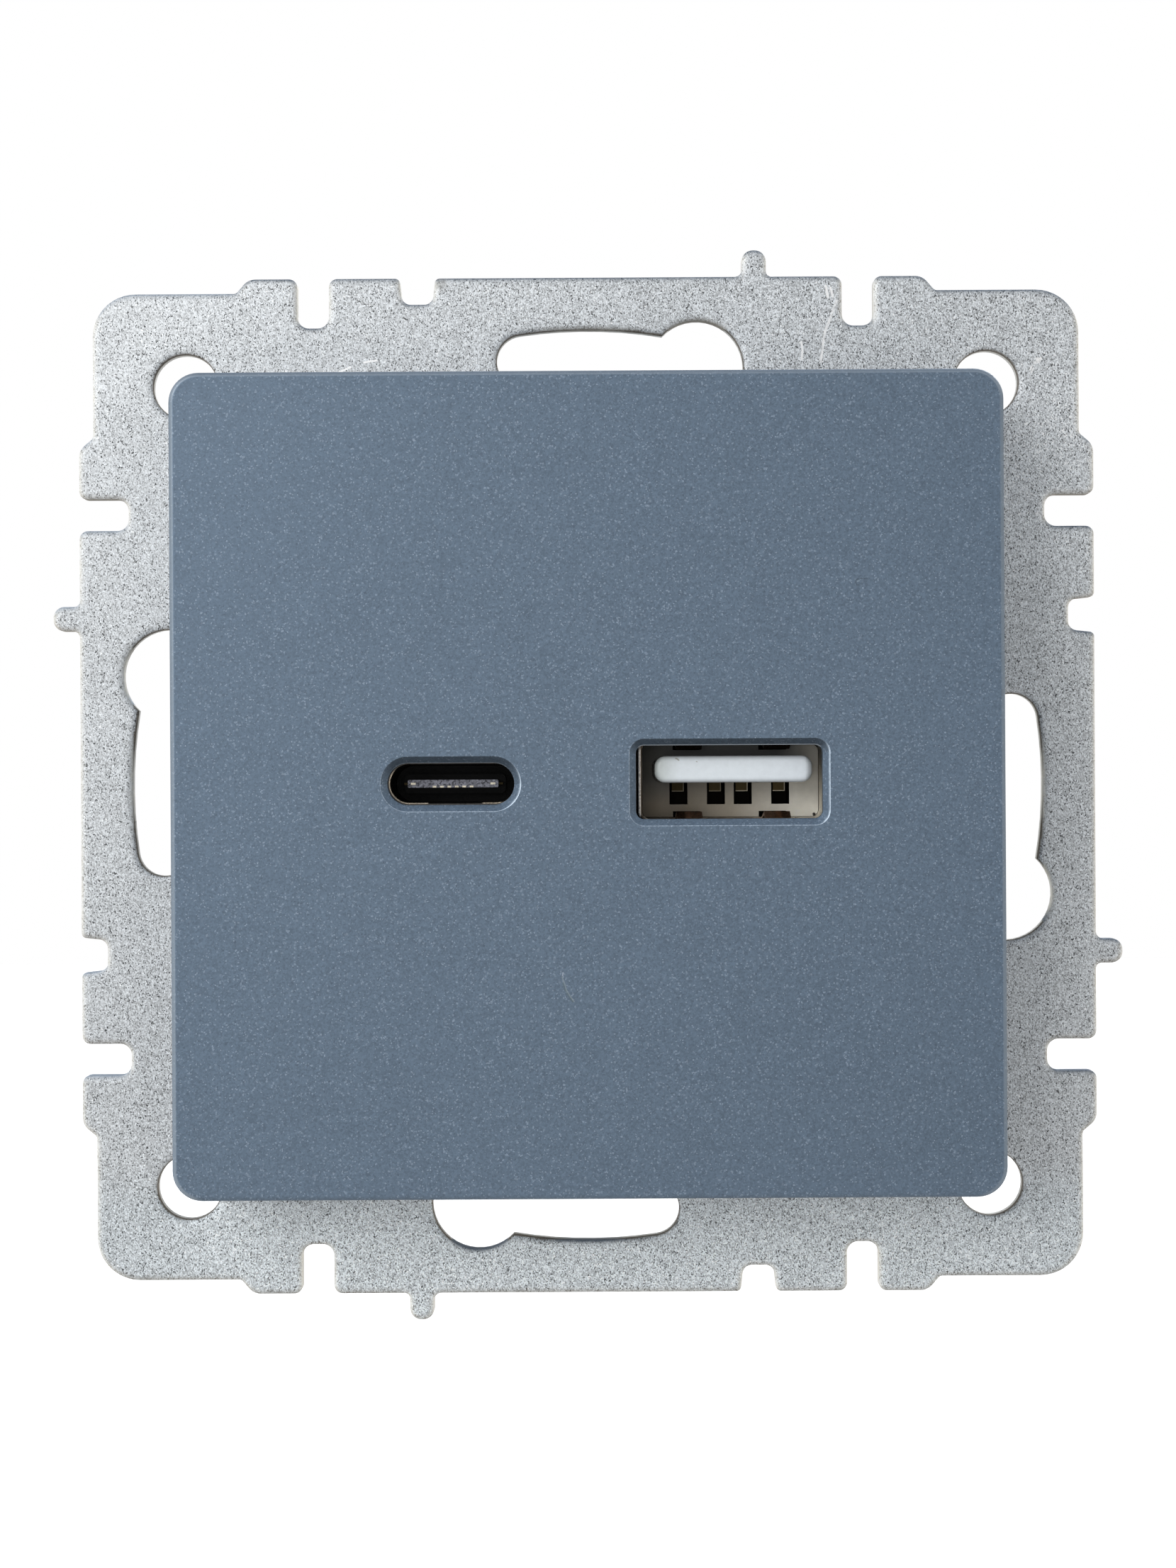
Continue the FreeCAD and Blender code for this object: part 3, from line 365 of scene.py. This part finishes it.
    # small dark burrs at the left slot's edge
    burr = m.math("MAXIMUM", m.stroke([(-31.66, -2.42), (-31.60, -2.60)], 0.09), m.stroke([(-31.52, -3.14), (-31.47, -3.30)], 0.09))
    col = m.mix(m.math("MULTIPLY", burr, 0.85), col, (0.05, 0.045, 0.04))
    m.base(col)
    m.put(m.bsdf.inputs["Metallic"], m.remap(wall, 0.0, 1.0, 0.85, 0.25))
    m.rough(m.remap(r, 0.0, 1.0, 0.49, 0.63))
    m.bump(grain, 0.020, 0.5)
    return m.mat


def moulded(name, colour, rough=0.5, grain_mm=0.06, grain_scale=5.0, tone=0.04, spec=0.4):
    """Injection moulded plastic with a spark-eroded texture."""
    m = Mat(name, rough=rough, spec=spec)
    g = m.noise(grain_scale, 3.0, 0.6)
    cloud = m.noise(0.18, 2.0, 0.5)
    t = m.math("ADD", m.remap(g, 0.3, 0.7, 1.0 - tone, 1.0 + tone), m.remap(cloud, 0.3, 0.7, -tone * 0.6, tone * 0.6))
    m.base(m.mul(colour, t))
    m.rough(m.remap(g, 0.25, 0.75, rough - 0.07, rough + 0.08))
    m.bump(g, grain_mm * 0.3, 0.5)
    return m.mat


def plated(name, colour, rough=0.3, tone=0.05, scale=3.0, stretch=(1.0, 1.0, 1.0), metallic=1.0, bump_mm=0.006):
    """Rolled or drawn metal under a thin plating."""
    m = Mat(name, rough=rough, metallic=metallic)
    g = m.noise(scale, 3.0, 0.6, vec=m.mapping(m.mm, scale=stretch))
    cloud = m.noise(0.5, 2.0, 0.5)
    t = m.math("ADD", m.remap(g, 0.3, 0.7, 1.0 - tone, 1.0 + tone), m.remap(cloud, 0.3, 0.7, -tone, tone))
    m.base(m.mul(colour, t))
    m.rough(m.remap(g, 0.25, 0.75, rough - 0.06, rough + 0.08))
    m.bump(g, bump_mm, 0.5)
    return m.mat


def insulator_white():
    """Pale tongue; the ivory wall behind it is painted with shade, dark brown on the left and beige to the right."""
    m = Mat("insulator_white", rough=0.32, spec=0.5)
    g = m.noise(3.0, 2.0, 0.5)
    x, y, z = m.sep(m.mm)
    deep = m.remap(y, -1.6, -0.6, 0.0, 1.0)
    # painted shade: the wall darker and browner to the left and darker towards the top
    wall = m.ramp(m.remap(x, 5.5, 15.5), [(0.05, (0.165, 0.118, 0.062)), (0.15, (0.200, 0.150, 0.078)),
                                          (0.45, (0.460, 0.398, 0.300)), (0.90, (1.0, 0.98, 0.89))])
    wall = m.mul(wall, m.remap(z, -1.8, -0.4, 1.16, 0.78))
    # painted shadow: near black over the wall's lower left and its upper right
    painted_wall_shadow = m.math("MULTIPLY", m.remap(x, 7.5, 5.0), m.remap(z, -1.3, 0.3, 0.0, 0.85))
    painted_wall_shadow = m.math("MAXIMUM", painted_wall_shadow, m.math("MULTIPLY", m.remap(z, 0.8, 1.6, 0.0, 0.97), m.remap(x, 13.2, 16.2, 1.0, 0.20)))
    wall = m.mix(painted_wall_shadow, wall, (0.024, 0.017, 0.010))
    # painted shade: the tongue darker at its left end, towards its right end and along its lower edge
    tongue = m.mix(m.remap(x, 4.6, 6.2), (0.495, 0.54, 0.535), (0.645, 0.697, 0.742))
    tongue = m.mix(m.remap(x, 10.0, 14.6), tongue, (0.625, 0.675, 0.725))
    tongue = m.mul(tongue, m.remap(x, 14.62, 14.86, 1.0, 0.66))
    tongue = m.mix(m.remap(z, 0.42, 0.16, 0.0, 0.35), tongue, (0.42, 0.46, 0.49))
    flaw = m.math("MAXIMUM", m.stroke([(5.93, 1.74), (6.02, 1.70), (6.12, 1.62)], 0.045), m.stroke([(7.30, 1.52), (7.36, 1.50)], 0.03))
    tongue = m.mix(m.math("MULTIPLY", flaw, 0.7), tongue, (0.24, 0.23, 0.17))
    col = m.mix(deep, tongue, wall)
    dot = m.stroke([(15.81, -2.13), (15.83, -2.17)], 0.105)
    col = m.mix(m.math("MULTIPLY", dot, m.remap(y, -1.0, -0.85)), col, (0.01, 0.008, 0.006))
    # painted shade: inside the windows behind the wall's face the moulding is painted near black
    inside = m.remap(y, -0.76, -0.66)
    col = m.mix(inside, col, (0.006, 0.005, 0.004))
    dull = m.math("MAXIMUM", inside, m.math("MULTIPLY", painted_wall_shadow, deep))
    m.put(m.bsdf.inputs["Specular IOR Level"], m.remap(dull, 0.0, 1.0, 0.5, 0.03))
    m.base(m.mul(col, m.remap(g, 0.3, 0.7, 0.97, 1.03)))
    m.rough(m.remap(g, 0.3, 0.7, 0.30, 0.44))
    m.bump(g, 0.01, 0.4)
    return m.mat


def insulator_black():
    """Glass-filled black moulding, speckled and painted a lit grey at the tongue's front edge, painted shade near black
    behind it.
    """
    m = Mat("insulator_black", rough=0.42, spec=0.18)
    g = m.noise(6.0, 3.0, 0.6)
    r, _, _ = m.cells(9.0)
    _, y, _ = m.sep(m.mm)
    front = m.remap(y, -8.30, -8.38)
    # painted shade: near black behind the tongue's front face; painted light: grey on the front face
    deep = m.mul((0.007, 0.007, 0.008), m.remap(g, 0.3, 0.7, 0.85, 1.15))
    grey = m.mul((0.168, 0.172, 0.202), m.remap(r, 0.0, 1.0, 0.35, 1.65))
    m.base(m.mix(front, deep, grey))
    m.rough(m.remap(g, 0.25, 0.75, 0.30, 0.44))
    m.bump(g, 0.015, 0.5)
    return m.mat


def shell_a():
    """Drawn shell of the type A port: painted shade dark brown on the left and at the top, bright on the right."""
    m = Mat("shell_a", rough=0.32, metallic=1.0)
    g = m.noise(4.0, 3.0, 0.6, vec=m.mapping(m.mm, scale=(1.0, 0.2, 1.0)))
    fine = m.noise(7.0, 2.0, 0.5)
    x, y, z = m.sep(m.mm)
    _, ny, _ = m.sep(m.tc.outputs["Normal"])
    # painted shade: dark brown on the left, pale to the right, near black towards the top
    col = m.ramp(m.remap(x, 5.5, 15.5), [(0.0, (0.10, 0.070, 0.045)), (0.45, (0.42, 0.35, 0.28)), (1.0, (0.74, 0.70, 0.62))])
    col = m.mix(m.remap(z, 1.1, 1.9, 0.0, 0.94), col, (0.028, 0.020, 0.014))
    # the spring fingers' plating has worn through to copper, painted darker on the upper fingers as painted shade, with
    # a painted glint on the crown of the bow
    finger = m.math("SUBTRACT", m.math("ABSOLUTE", m.math("SUBTRACT", x, 9.89)), 3.0)
    near = m.remap(m.math("ABSOLUTE", finger), 0.93, 0.88)
    near = m.math("MULTIPLY", near, m.math("MULTIPLY", m.remap(y, -7.3, -7.1), m.remap(y, -2.3, -2.5)))
    near = m.math("MULTIPLY", near, m.remap(m.math("ABSOLUTE", m.math("SUBTRACT", z, 0.25)), 2.62, 2.58))
    copper = m.mix(m.remap(z, 0.0, 0.5), (0.40, 0.235, 0.150), (0.16, 0.105, 0.070))
    col = m.mix(near, col, m.mul(copper, m.remap(fine, 0.3, 0.7, 0.6, 1.3)))
    glint = m.math("MULTIPLY", m.remap(m.math("ABSOLUTE", m.math("SUBTRACT", finger, 0.10)), 0.26, 0.12), m.remap(z, -1.2, -1.4))
    col = m.mix(m.math("MULTIPLY", m.math("MULTIPLY", near, glint), 0.8), col, (0.95, 0.55, 0.36))
    col = m.mul(col, m.remap(g, 0.3, 0.7, 0.90, 1.10))
    # painted highlight along the rounded front rim, stronger to the left; painted shade on the flat cut face
    front = m.remap(y, -9.34, -9.40)
    rim_highlight = m.mul((0.95, 0.84, 0.70), m.remap(fine, 0.35, 0.60, 0.35, 1.0))
    rim_highlight = m.mul(rim_highlight, m.remap(x, 4.5, 14.5, 0.70, 0.20))
    col = m.mix(front, col, rim_highlight)
    rim_face_shade = m.math("MULTIPLY", front, m.remap(ny, -0.80, -0.97))
    col = m.mix(rim_face_shade, col, (0.10, 0.085, 0.065))
    # left side: painted shade over the rim, with a painted highlight along its middle
    side = m.math("MULTIPLY", front, m.remap(x, 3.9, 3.7))
    rim_glint = m.math("MULTIPLY", side, m.remap(m.math("ABSOLUTE", m.math("SUBTRACT", x, 3.45)), 0.10, 0.055))
    col = m.mix(side, col, (0.06, 0.048, 0.036))
    m.base(m.mix(rim_glint, col, m.mul((0.96, 0.89, 0.80), m.remap(fine, 0.35, 0.60, 0.50, 1.0))))
    bright = rim_glint
    m.put(m.bsdf.inputs["Metallic"], m.remap(bright, 0.0, 1.0, 1.0, 0.35))
    m.rough(m.remap(g, 0.25, 0.75, 0.26, 0.42))
    m.bump(g, 0.006, 0.5)
    return m.mat


def shell_c():
    """Drawn shell of the type C port, dark inside, with painted glints on parts of its rim."""
    m = Mat("shell_c", rough=0.30, metallic=1.0)
    g = m.noise(4.0, 3.0, 0.6, vec=m.mapping(m.mm, scale=(1.0, 0.2, 1.0)))
    fine = m.noise(9.0, 2.0, 0.5)
    x, y, z = m.sep(m.mm)
    _, ny, _ = m.sep(m.tc.outputs["Normal"])
    col = m.mul((0.085, 0.078, 0.070), m.remap(g, 0.3, 0.7, 0.8, 1.25))
    # painted glints on the rim: at the left, the lower left and the lower right
    left = m.math("MULTIPLY", m.remap(x, -12.1, -12.7), m.remap(z, 1.15, 0.75))
    low = m.remap(z, -0.85, -1.05)
    low_left = m.math("MULTIPLY", low, m.remap(x, -10.65, -10.75))
    low_right = m.math("MULTIPLY", low, m.math("MULTIPLY", m.remap(x, -7.15, -7.0), m.remap(x, -5.75, -5.9)))
    painted_edge_glint = m.math("MULTIPLY", m.math("MAXIMUM", m.math("MAXIMUM", left, low_left), low_right), m.remap(fine, 0.3, 0.55, 0.55, 1.0))
    painted_edge_glint = m.math("MULTIPLY", painted_edge_glint, m.math("MULTIPLY", m.remap(y, -9.30, -9.38), m.remap(ny, -0.95, -0.75)))
    col = m.mix(painted_edge_glint, col, (0.96, 0.82, 0.64))
    m.base(col)
    m.put(m.bsdf.inputs["Metallic"], m.remap(painted_edge_glint, 0.0, 1.0, 1.0, 0.30))
    m.rough(m.remap(g, 0.25, 0.75, 0.24, 0.40))
    m.bump(g, 0.006, 0.5)
    return m.mat


def tips_c():
    """Contacts and mid plate of the type C tongue: pale tips in front as painted glints, dark gold behind as painted
    shade.
    """
    m = Mat("tips_c", rough=0.30, metallic=1.0)
    g = m.noise(6.0, 2.0, 0.5)
    _, y, _ = m.sep(m.mm)
    tip = m.remap(y, -8.25, -8.36)
    # painted glints on the pale tips, painted shade in dark gold behind them
    col = m.mix(tip, (0.050, 0.038, 0.020), (0.80, 0.74, 0.60))
    m.base(m.mul(col, m.remap(g, 0.3, 0.7, 0.8, 1.1)))
    m.rough(m.remap(g, 0.25, 0.75, 0.26, 0.42))
    m.bump(g, 0.004, 0.5)
    return m.mat


def contact_brown():
    """Contact blades on the type A tongue: painted shade darkens them, more to the left, and a painted highlight runs
    as a bright thread along the rims.
    """
    m = Mat("contact_brown", rough=0.34, metallic=1.0)
    g = m.noise(4.0, 3.0, 0.6, vec=m.mapping(m.mm, scale=(1.0, 0.3, 1.0)))
    x, y, z = m.sep(m.mm)
    # painted shade: the blades dark, darker still to the left
    dark = m.mul((0.115, 0.088, 0.042), m.remap(g, 0.3, 0.7, 0.8, 1.2))
    dark = m.mul(dark, m.remap(x, 6.0, 12.5, 0.50, 1.0))
    # painted highlight along the lower and right rims, fainter to the left
    painted_edge_glint = m.remap(z, -0.44, -0.47)
    for right in (6.75, 9.37, 11.25, 13.87):
        painted_edge_glint = m.math("MAXIMUM", painted_edge_glint, m.math("MULTIPLY", m.remap(x, right - 0.07, right - 0.04), m.remap(x, right + 0.04, right + 0.02)))
    painted_edge_glint = m.math("MULTIPLY", painted_edge_glint, m.remap(x, 9.6, 10.4, 0.30, 0.9))
    painted_edge_glint = m.math("MULTIPLY", painted_edge_glint, m.remap(m.math("ABSOLUTE", m.math("SUBTRACT", y, 0.68)), 0.12, 0.09))
    m.base(m.mix(painted_edge_glint, dark, (0.85, 0.78, 0.62)))
    m.rough(m.remap(g, 0.25, 0.75, 0.28, 0.44))
    m.bump(g, 0.006, 0.5)
    return m.mat


def circuit_board():
    """Solder mask with tracks that show as faint ridges, bare laminate at the sawn edge."""
    m = Mat("circuit_board", rough=0.38, spec=0.5)
    x, y, z = m.sep(m.mm)
    cell = m.mapping(m.mm, scale=(0.55, 0.0, 0.9))
    track = m.voronoi(0.8, vec=cell, feature="DISTANCE_TO_EDGE", rand=0.35)
    track = m.remap(track, 0.10, 0.16, 0.0, 1.0)
    col = m.mix(track, (0.020, 0.105, 0.045), (0.032, 0.165, 0.075))
    g = m.noise(2.5, 3.0, 0.6)
    col = m.mul(col, m.remap(g, 0.3, 0.7, 0.92, 1.08))
    weave = m.noise(4.0, 2.0, 0.5, vec=m.mapping(m.mm, scale=(0.3, 3.0, 0.3)))
    fibre = m.ramp(weave, [(0.3, (0.30, 0.28, 0.17)), (0.7, (0.46, 0.43, 0.28))])
    m.base(m.mix(m.side(), col, fibre))
    m.bump(track, 0.03, 0.5)
    m.bump(g, 0.01, 0.3)
    return m.mat


def ferrite():
    m = Mat("ferrite", rough=0.62, spec=0.4)
    g = m.noise(5.0, 4.0, 0.7)
    p = m.voronoi(2.4)
    col = m.mul((0.052, 0.052, 0.056), m.remap(g, 0.3, 0.7, 0.75, 1.3))
    m.base(m.mix(m.remap(p, 0.0, 0.12, 0.6, 0.0), col, (0.018, 0.018, 0.018)))
    m.bump(g, 0.02, 0.6)
    m.bump(p, 0.03, 0.3)
    return m.mat


def tape():
    """Polyester tape wound round the coil, its layers' edges showing."""
    m = Mat("winding_tape", rough=0.28, spec=0.5)
    x, y, z = m.sep(m.mm)
    lap = m.math("FRACT", m.math("MULTIPLY", z, 0.37))
    edge = m.remap(lap, 0.0, 0.05, 1.0, 0.0)
    turn = m.noise(9.0, 2.0, 0.5, vec=m.mapping(m.mm, scale=(0.15, 0.15, 1.0)))
    col = m.mul((0.80, 0.56, 0.06), m.remap(turn, 0.3, 0.7, 0.88, 1.08))
    m.base(m.mix(m.math("MULTIPLY", edge, 0.5), col, (0.42, 0.26, 0.02)))
    m.bump(turn, 0.02, 0.5)
    return m.mat


def capacitor(name, sleeve):
    """Sleeve round the side, bright can end with a stamped vent cross."""
    m = Mat(name, rough=0.35, spec=0.5)
    _, ny, _ = m.sep(m.tc.outputs["Normal"])
    end = m.remap(ny, -0.9, -0.6, 1.0, 0.0)
    g = m.noise(3.0, 3.0, 0.6)
    brushed = m.noise(6.0, 2.0, 0.5, vec=m.mapping(m.mm, scale=(0.2, 1.0, 2.5)))
    side = m.mul(sleeve, m.remap(g, 0.3, 0.7, 0.9, 1.1))
    can = m.mul((0.72, 0.72, 0.73), m.remap(brushed, 0.3, 0.7, 0.9, 1.08))
    m.base(m.mix(end, side, can))
    m.put(m.bsdf.inputs["Metallic"], end)
    m.rough(m.math("ADD", m.remap(g, 0.3, 0.7, 0.30, 0.42), m.math("MULTIPLY", end, -0.04)))
    m.bump(g, 0.01, 0.4)
    return m.mat


def lacquered(name, colour, rough=0.25, scale=1.2):
    m = Mat(name, rough=rough, spec=0.5)
    g = m.noise(scale, 3.0, 0.55)
    fine = m.noise(6.0, 2.0, 0.5)
    m.base(m.mul(colour, m.remap(g, 0.3, 0.7, 0.88, 1.1)))
    m.rough(m.remap(fine, 0.3, 0.7, rough - 0.05, rough + 0.08))
    m.bump(g, 0.06, 0.5)
    return m.mat


def film():
    m = Mat("sheet_film", rough=0.42, spec=0.5)
    g = m.noise(0.6, 3.0, 0.5)
    fibre = m.noise(3.0, 3.0, 0.6, vec=m.mapping(m.mm, scale=(3.0, 1.0, 0.4)))
    m.base(m.mul((0.72, 0.69, 0.58), m.math("ADD", m.remap(g, 0.3, 0.7, 0.95, 1.03), m.remap(fibre, 0.3, 0.7, -0.03, 0.03))))
    m.rough(m.remap(fibre, 0.3, 0.7, 0.36, 0.50))
    m.bump(fibre, 0.01, 0.5)
    return m.mat


assign(cover_paint(), "front_cover")
assign(zinc_steel(), "support_frame")
assign(moulded("carrier_plastic", (0.66, 0.66, 0.63), 0.46), "carrier")
assign(moulded("housing_plastic", (0.76, 0.76, 0.735), 0.44, grain_mm=0.08, grain_scale=4.0, tone=0.03), "rear_housing")
assign(moulded("terminal_plastic", (0.030, 0.030, 0.032), 0.42, tone=0.12), "terminal_block")
assign(moulded("bobbin_plastic", (0.024, 0.024, 0.026), 0.38, tone=0.15), "transformer_bobbin")
assign(moulded("header_plastic", (0.018, 0.018, 0.019), 0.36, tone=0.15), "link_header_spacer")
assign(insulator_black(), "usb_c_insulator")
assign(moulded("chip_epoxy", (0.022, 0.022, 0.023), 0.48, tone=0.2, grain_scale=8.0),
       "charge_controller", "power_controller", "optocoupler", "output_rectifier", "bridge_rectifier")
assign(moulded("chip_ceramic", (0.26, 0.19, 0.12), 0.40, tone=0.12, grain_scale=7.0), "chip_parts")
assign(insulator_white(), "usb_a_insulator")
assign(plated("screw_zinc", (0.66, 0.665, 0.68), 0.30, scale=4.0), "housing_screws", "line_clamp_screw", "neutral_clamp_screw")
assign(plated("cage_steel", (0.60, 0.59, 0.56), 0.32, scale=3.0, stretch=(1.0, 1.0, 0.25)), "line_clamp_cage", "neutral_clamp_cage")
assign(shell_a(), "usb_a_shell")
assign(shell_c(), "usb_c_shell")
assign(tips_c(), "usb_c_contacts", "usb_c_mid_plate")
assign(contact_brown(), "usb_a_contacts")
assign(plated("contact_gold", (0.83, 0.60, 0.28), 0.24, scale=5.0, stretch=(1.0, 0.2, 1.0)),
       "link_header_pins")
assign(plated("bar_tin", (0.72, 0.69, 0.63), 0.34, scale=3.0, stretch=(1.0, 1.0, 0.2)), "line_bar", "neutral_bar")
assign(plated("pin_tin", (0.72, 0.72, 0.71), 0.30, scale=6.0), "transformer_pins")
assign(circuit_board(), "connector_board", "power_board")
assign(ferrite(), "transformer_core", "line_choke")
assign(tape(), "transformer_winding")
assign(capacitor("capacitor_dark", (0.020, 0.026, 0.060)), "input_capacitors")
assign(capacitor("capacitor_bright", (0.030, 0.10, 0.055)), "output_capacitors")
assign(lacquered("resistor_lacquer", (0.16, 0.30, 0.20), 0.40), "fuse_resistor")
assign(lacquered("disc_lacquer", (0.030, 0.10, 0.36), 0.22), "safety_capacitor")
assign(film(), "insulating_sheet")


# ---------------------------------------------------------------------- stage
def floor():
    me = bpy.data.meshes.new("floor")
    s = 4.0
    me.from_pydata([(-s, -s, 0), (s, -s, 0), (s, s, 0), (-s, s, 0)], [], [(0, 1, 2, 3)])
    o = bpy.data.objects.new("floor", me)
    scene.collection.objects.link(o)
    o.location = (0, 0, -0.26)
    m = Mat("floor_pale", rough=0.6, spec=0.2)
    g = m.noise(0.02, 3.0, 0.5)
    m.base(m.mul((0.86, 0.86, 0.855), m.remap(g, 0.3, 0.7, 0.985, 1.0)))
    me.materials.append(m.mat)
    o.visible_diffuse = False
    o.visible_glossy = False
    return o


def area(name, loc, target, size, power, colour=(1, 1, 1), size_y=None):
    data = bpy.data.lights.new(name, "AREA")
    data.energy = power
    data.color = colour
    data.size = size
    if size_y is not None:
        data.shape = "RECTANGLE"
        data.size_y = size_y
    o = bpy.data.objects.new(name, data)
    scene.collection.objects.link(o)
    o.location = loc
    o.rotation_mode = "QUATERNION"
    o.rotation_quaternion = (Vector(target) - Vector(loc)).to_track_quat("-Z", "Y")
    o.visible_camera = False
    return o


def world():
    w = bpy.data.worlds.new("studio")
    scene.world = w
    w.use_nodes = True
    nt = w.node_tree
    nt.nodes.clear()
    out = nt.nodes.new("ShaderNodeOutputWorld")
    mix = nt.nodes.new("ShaderNodeMixShader")
    seen = nt.nodes.new("ShaderNodeBackground")
    seen.inputs["Color"].default_value = (1, 1, 1, 1)
    seen.inputs["Strength"].default_value = 1.0
    fill = nt.nodes.new("ShaderNodeBackground")
    fill.inputs["Strength"].default_value = 1.0
    path = nt.nodes.new("ShaderNodeLightPath")
    tc = nt.nodes.new("ShaderNodeTexCoord")
    sep = nt.nodes.new("ShaderNodeSeparateXYZ")
    nt.links.new(tc.outputs["Generated"], sep.inputs[0])
    ramp_z = nt.nodes.new("ShaderNodeValToRGB")
    mr = nt.nodes.new("ShaderNodeMapRange")
    nt.links.new(sep.outputs[2], mr.inputs["Value"])
    mr.inputs["From Min"].default_value = -1.0
    mr.inputs["From Max"].default_value = 1.0
    nt.links.new(mr.outputs["Result"], ramp_z.inputs["Fac"])
    el = ramp_z.color_ramp.elements
    el[0].position, el[0].color = 0.0, (0.58, 0.565, 0.55, 1)
    el[1].position, el[1].color = 1.0, (0.30, 0.34, 0.40, 1)
    for at, c in ((0.30, (0.74, 0.735, 0.73, 1)), (0.47, (0.52, 0.52, 0.525, 1)), (0.62, (0.45, 0.455, 0.46, 1))):
        mid = el.new(at)
        mid.color = c
    # brightest towards the window side on the left, a cream wall on the right
    mx = nt.nodes.new("ShaderNodeValToRGB")
    mf = nt.nodes.new("ShaderNodeMapRange")
    nt.links.new(sep.outputs[0], mf.inputs["Value"])
    mf.inputs["From Min"].default_value = -1.0
    mf.inputs["From Max"].default_value = 1.0
    nt.links.new(mf.outputs["Result"], mx.inputs["Fac"])
    ex = mx.color_ramp.elements
    ex[0].position, ex[0].color = 0.0, (1.0, 1.0, 1.0, 1)
    ex[1].position, ex[1].color = 1.0, (0.95, 0.90, 0.80, 1)
    for at, v in ((0.20, 0.64), (0.42, 0.48), (0.62, 0.49), (0.85, 0.72)):
        e = ex.new(at)
        e.color = (v, v, v, 1)
    vm = nt.nodes.new("ShaderNodeVectorMath")
    vm.operation = "MULTIPLY"
    nt.links.new(ramp_z.outputs["Color"], vm.inputs[0])
    nt.links.new(mx.outputs["Color"], vm.inputs[1])
    nt.links.new(vm.outputs["Vector"], fill.inputs["Color"])
    fill.inputs["Strength"].default_value = 2.0
    nt.links.new(path.outputs["Is Camera Ray"], mix.inputs["Fac"])
    nt.links.new(fill.outputs[0], mix.inputs[1])
    nt.links.new(seen.outputs[0], mix.inputs[2])
    nt.links.new(mix.outputs[0], out.inputs["Surface"])


ground = floor()
world()
area("key", (-0.25, -0.37, 0.16), (0, 0, 0), 0.26, 1.06, (1.0, 0.99, 0.97))
area("back_soft", (0.35, 0.60, 0.45), (0, 0.02, 0), 0.40, 3.5, (0.98, 0.99, 1.0))

# a sun that only the floor receives, so that it stays pale to the horizon
sun = bpy.data.lights.new("floor_sun", "SUN")
sun.energy = 3.4
sun.angle = math.radians(50)
sun_o = bpy.data.objects.new("floor_sun", sun)
scene.collection.objects.link(sun_o)
only_floor = bpy.data.collections.new("floor_only")
only_floor.objects.link(ground)
sun_o.light_linking.receiver_collection = only_floor

# a little light straight into the type A port
port_o = area("port_fill", (-0.02, -0.32, 0.0), (0.010, 0, 0.0), 0.06, 0.19, (1.0, 0.98, 0.94))
port_o.visible_glossy = False
in_port = bpy.data.collections.new("port_only")
in_port.objects.link(NODES["usb_a_insulator"])
port_o.light_linking.receiver_collection = in_port

scene.view_settings.view_transform = "Standard"
scene.view_settings.look = "None"
scene.view_settings.exposure = 0.0
scene.view_settings.gamma = 1.0

# --------------------------------------------------------------------- camera
cam = bpy.data.cameras.new("camera")
cam.lens = 65.64
cam.sensor_width = 36.0
cam.sensor_fit = "AUTO"
cam.shift_y = 0.0005
cam.clip_start = 0.005
cam.clip_end = 50.0
cam_o = bpy.data.objects.new("camera", cam)
scene.collection.objects.link(cam_o)
cam_o.location = (0.0, -0.201, 0.0)
cam_o.rotation_euler = (math.radians(90), math.radians(0.32), 0)
scene.camera = cam_o

bpy.context.view_layer.update()
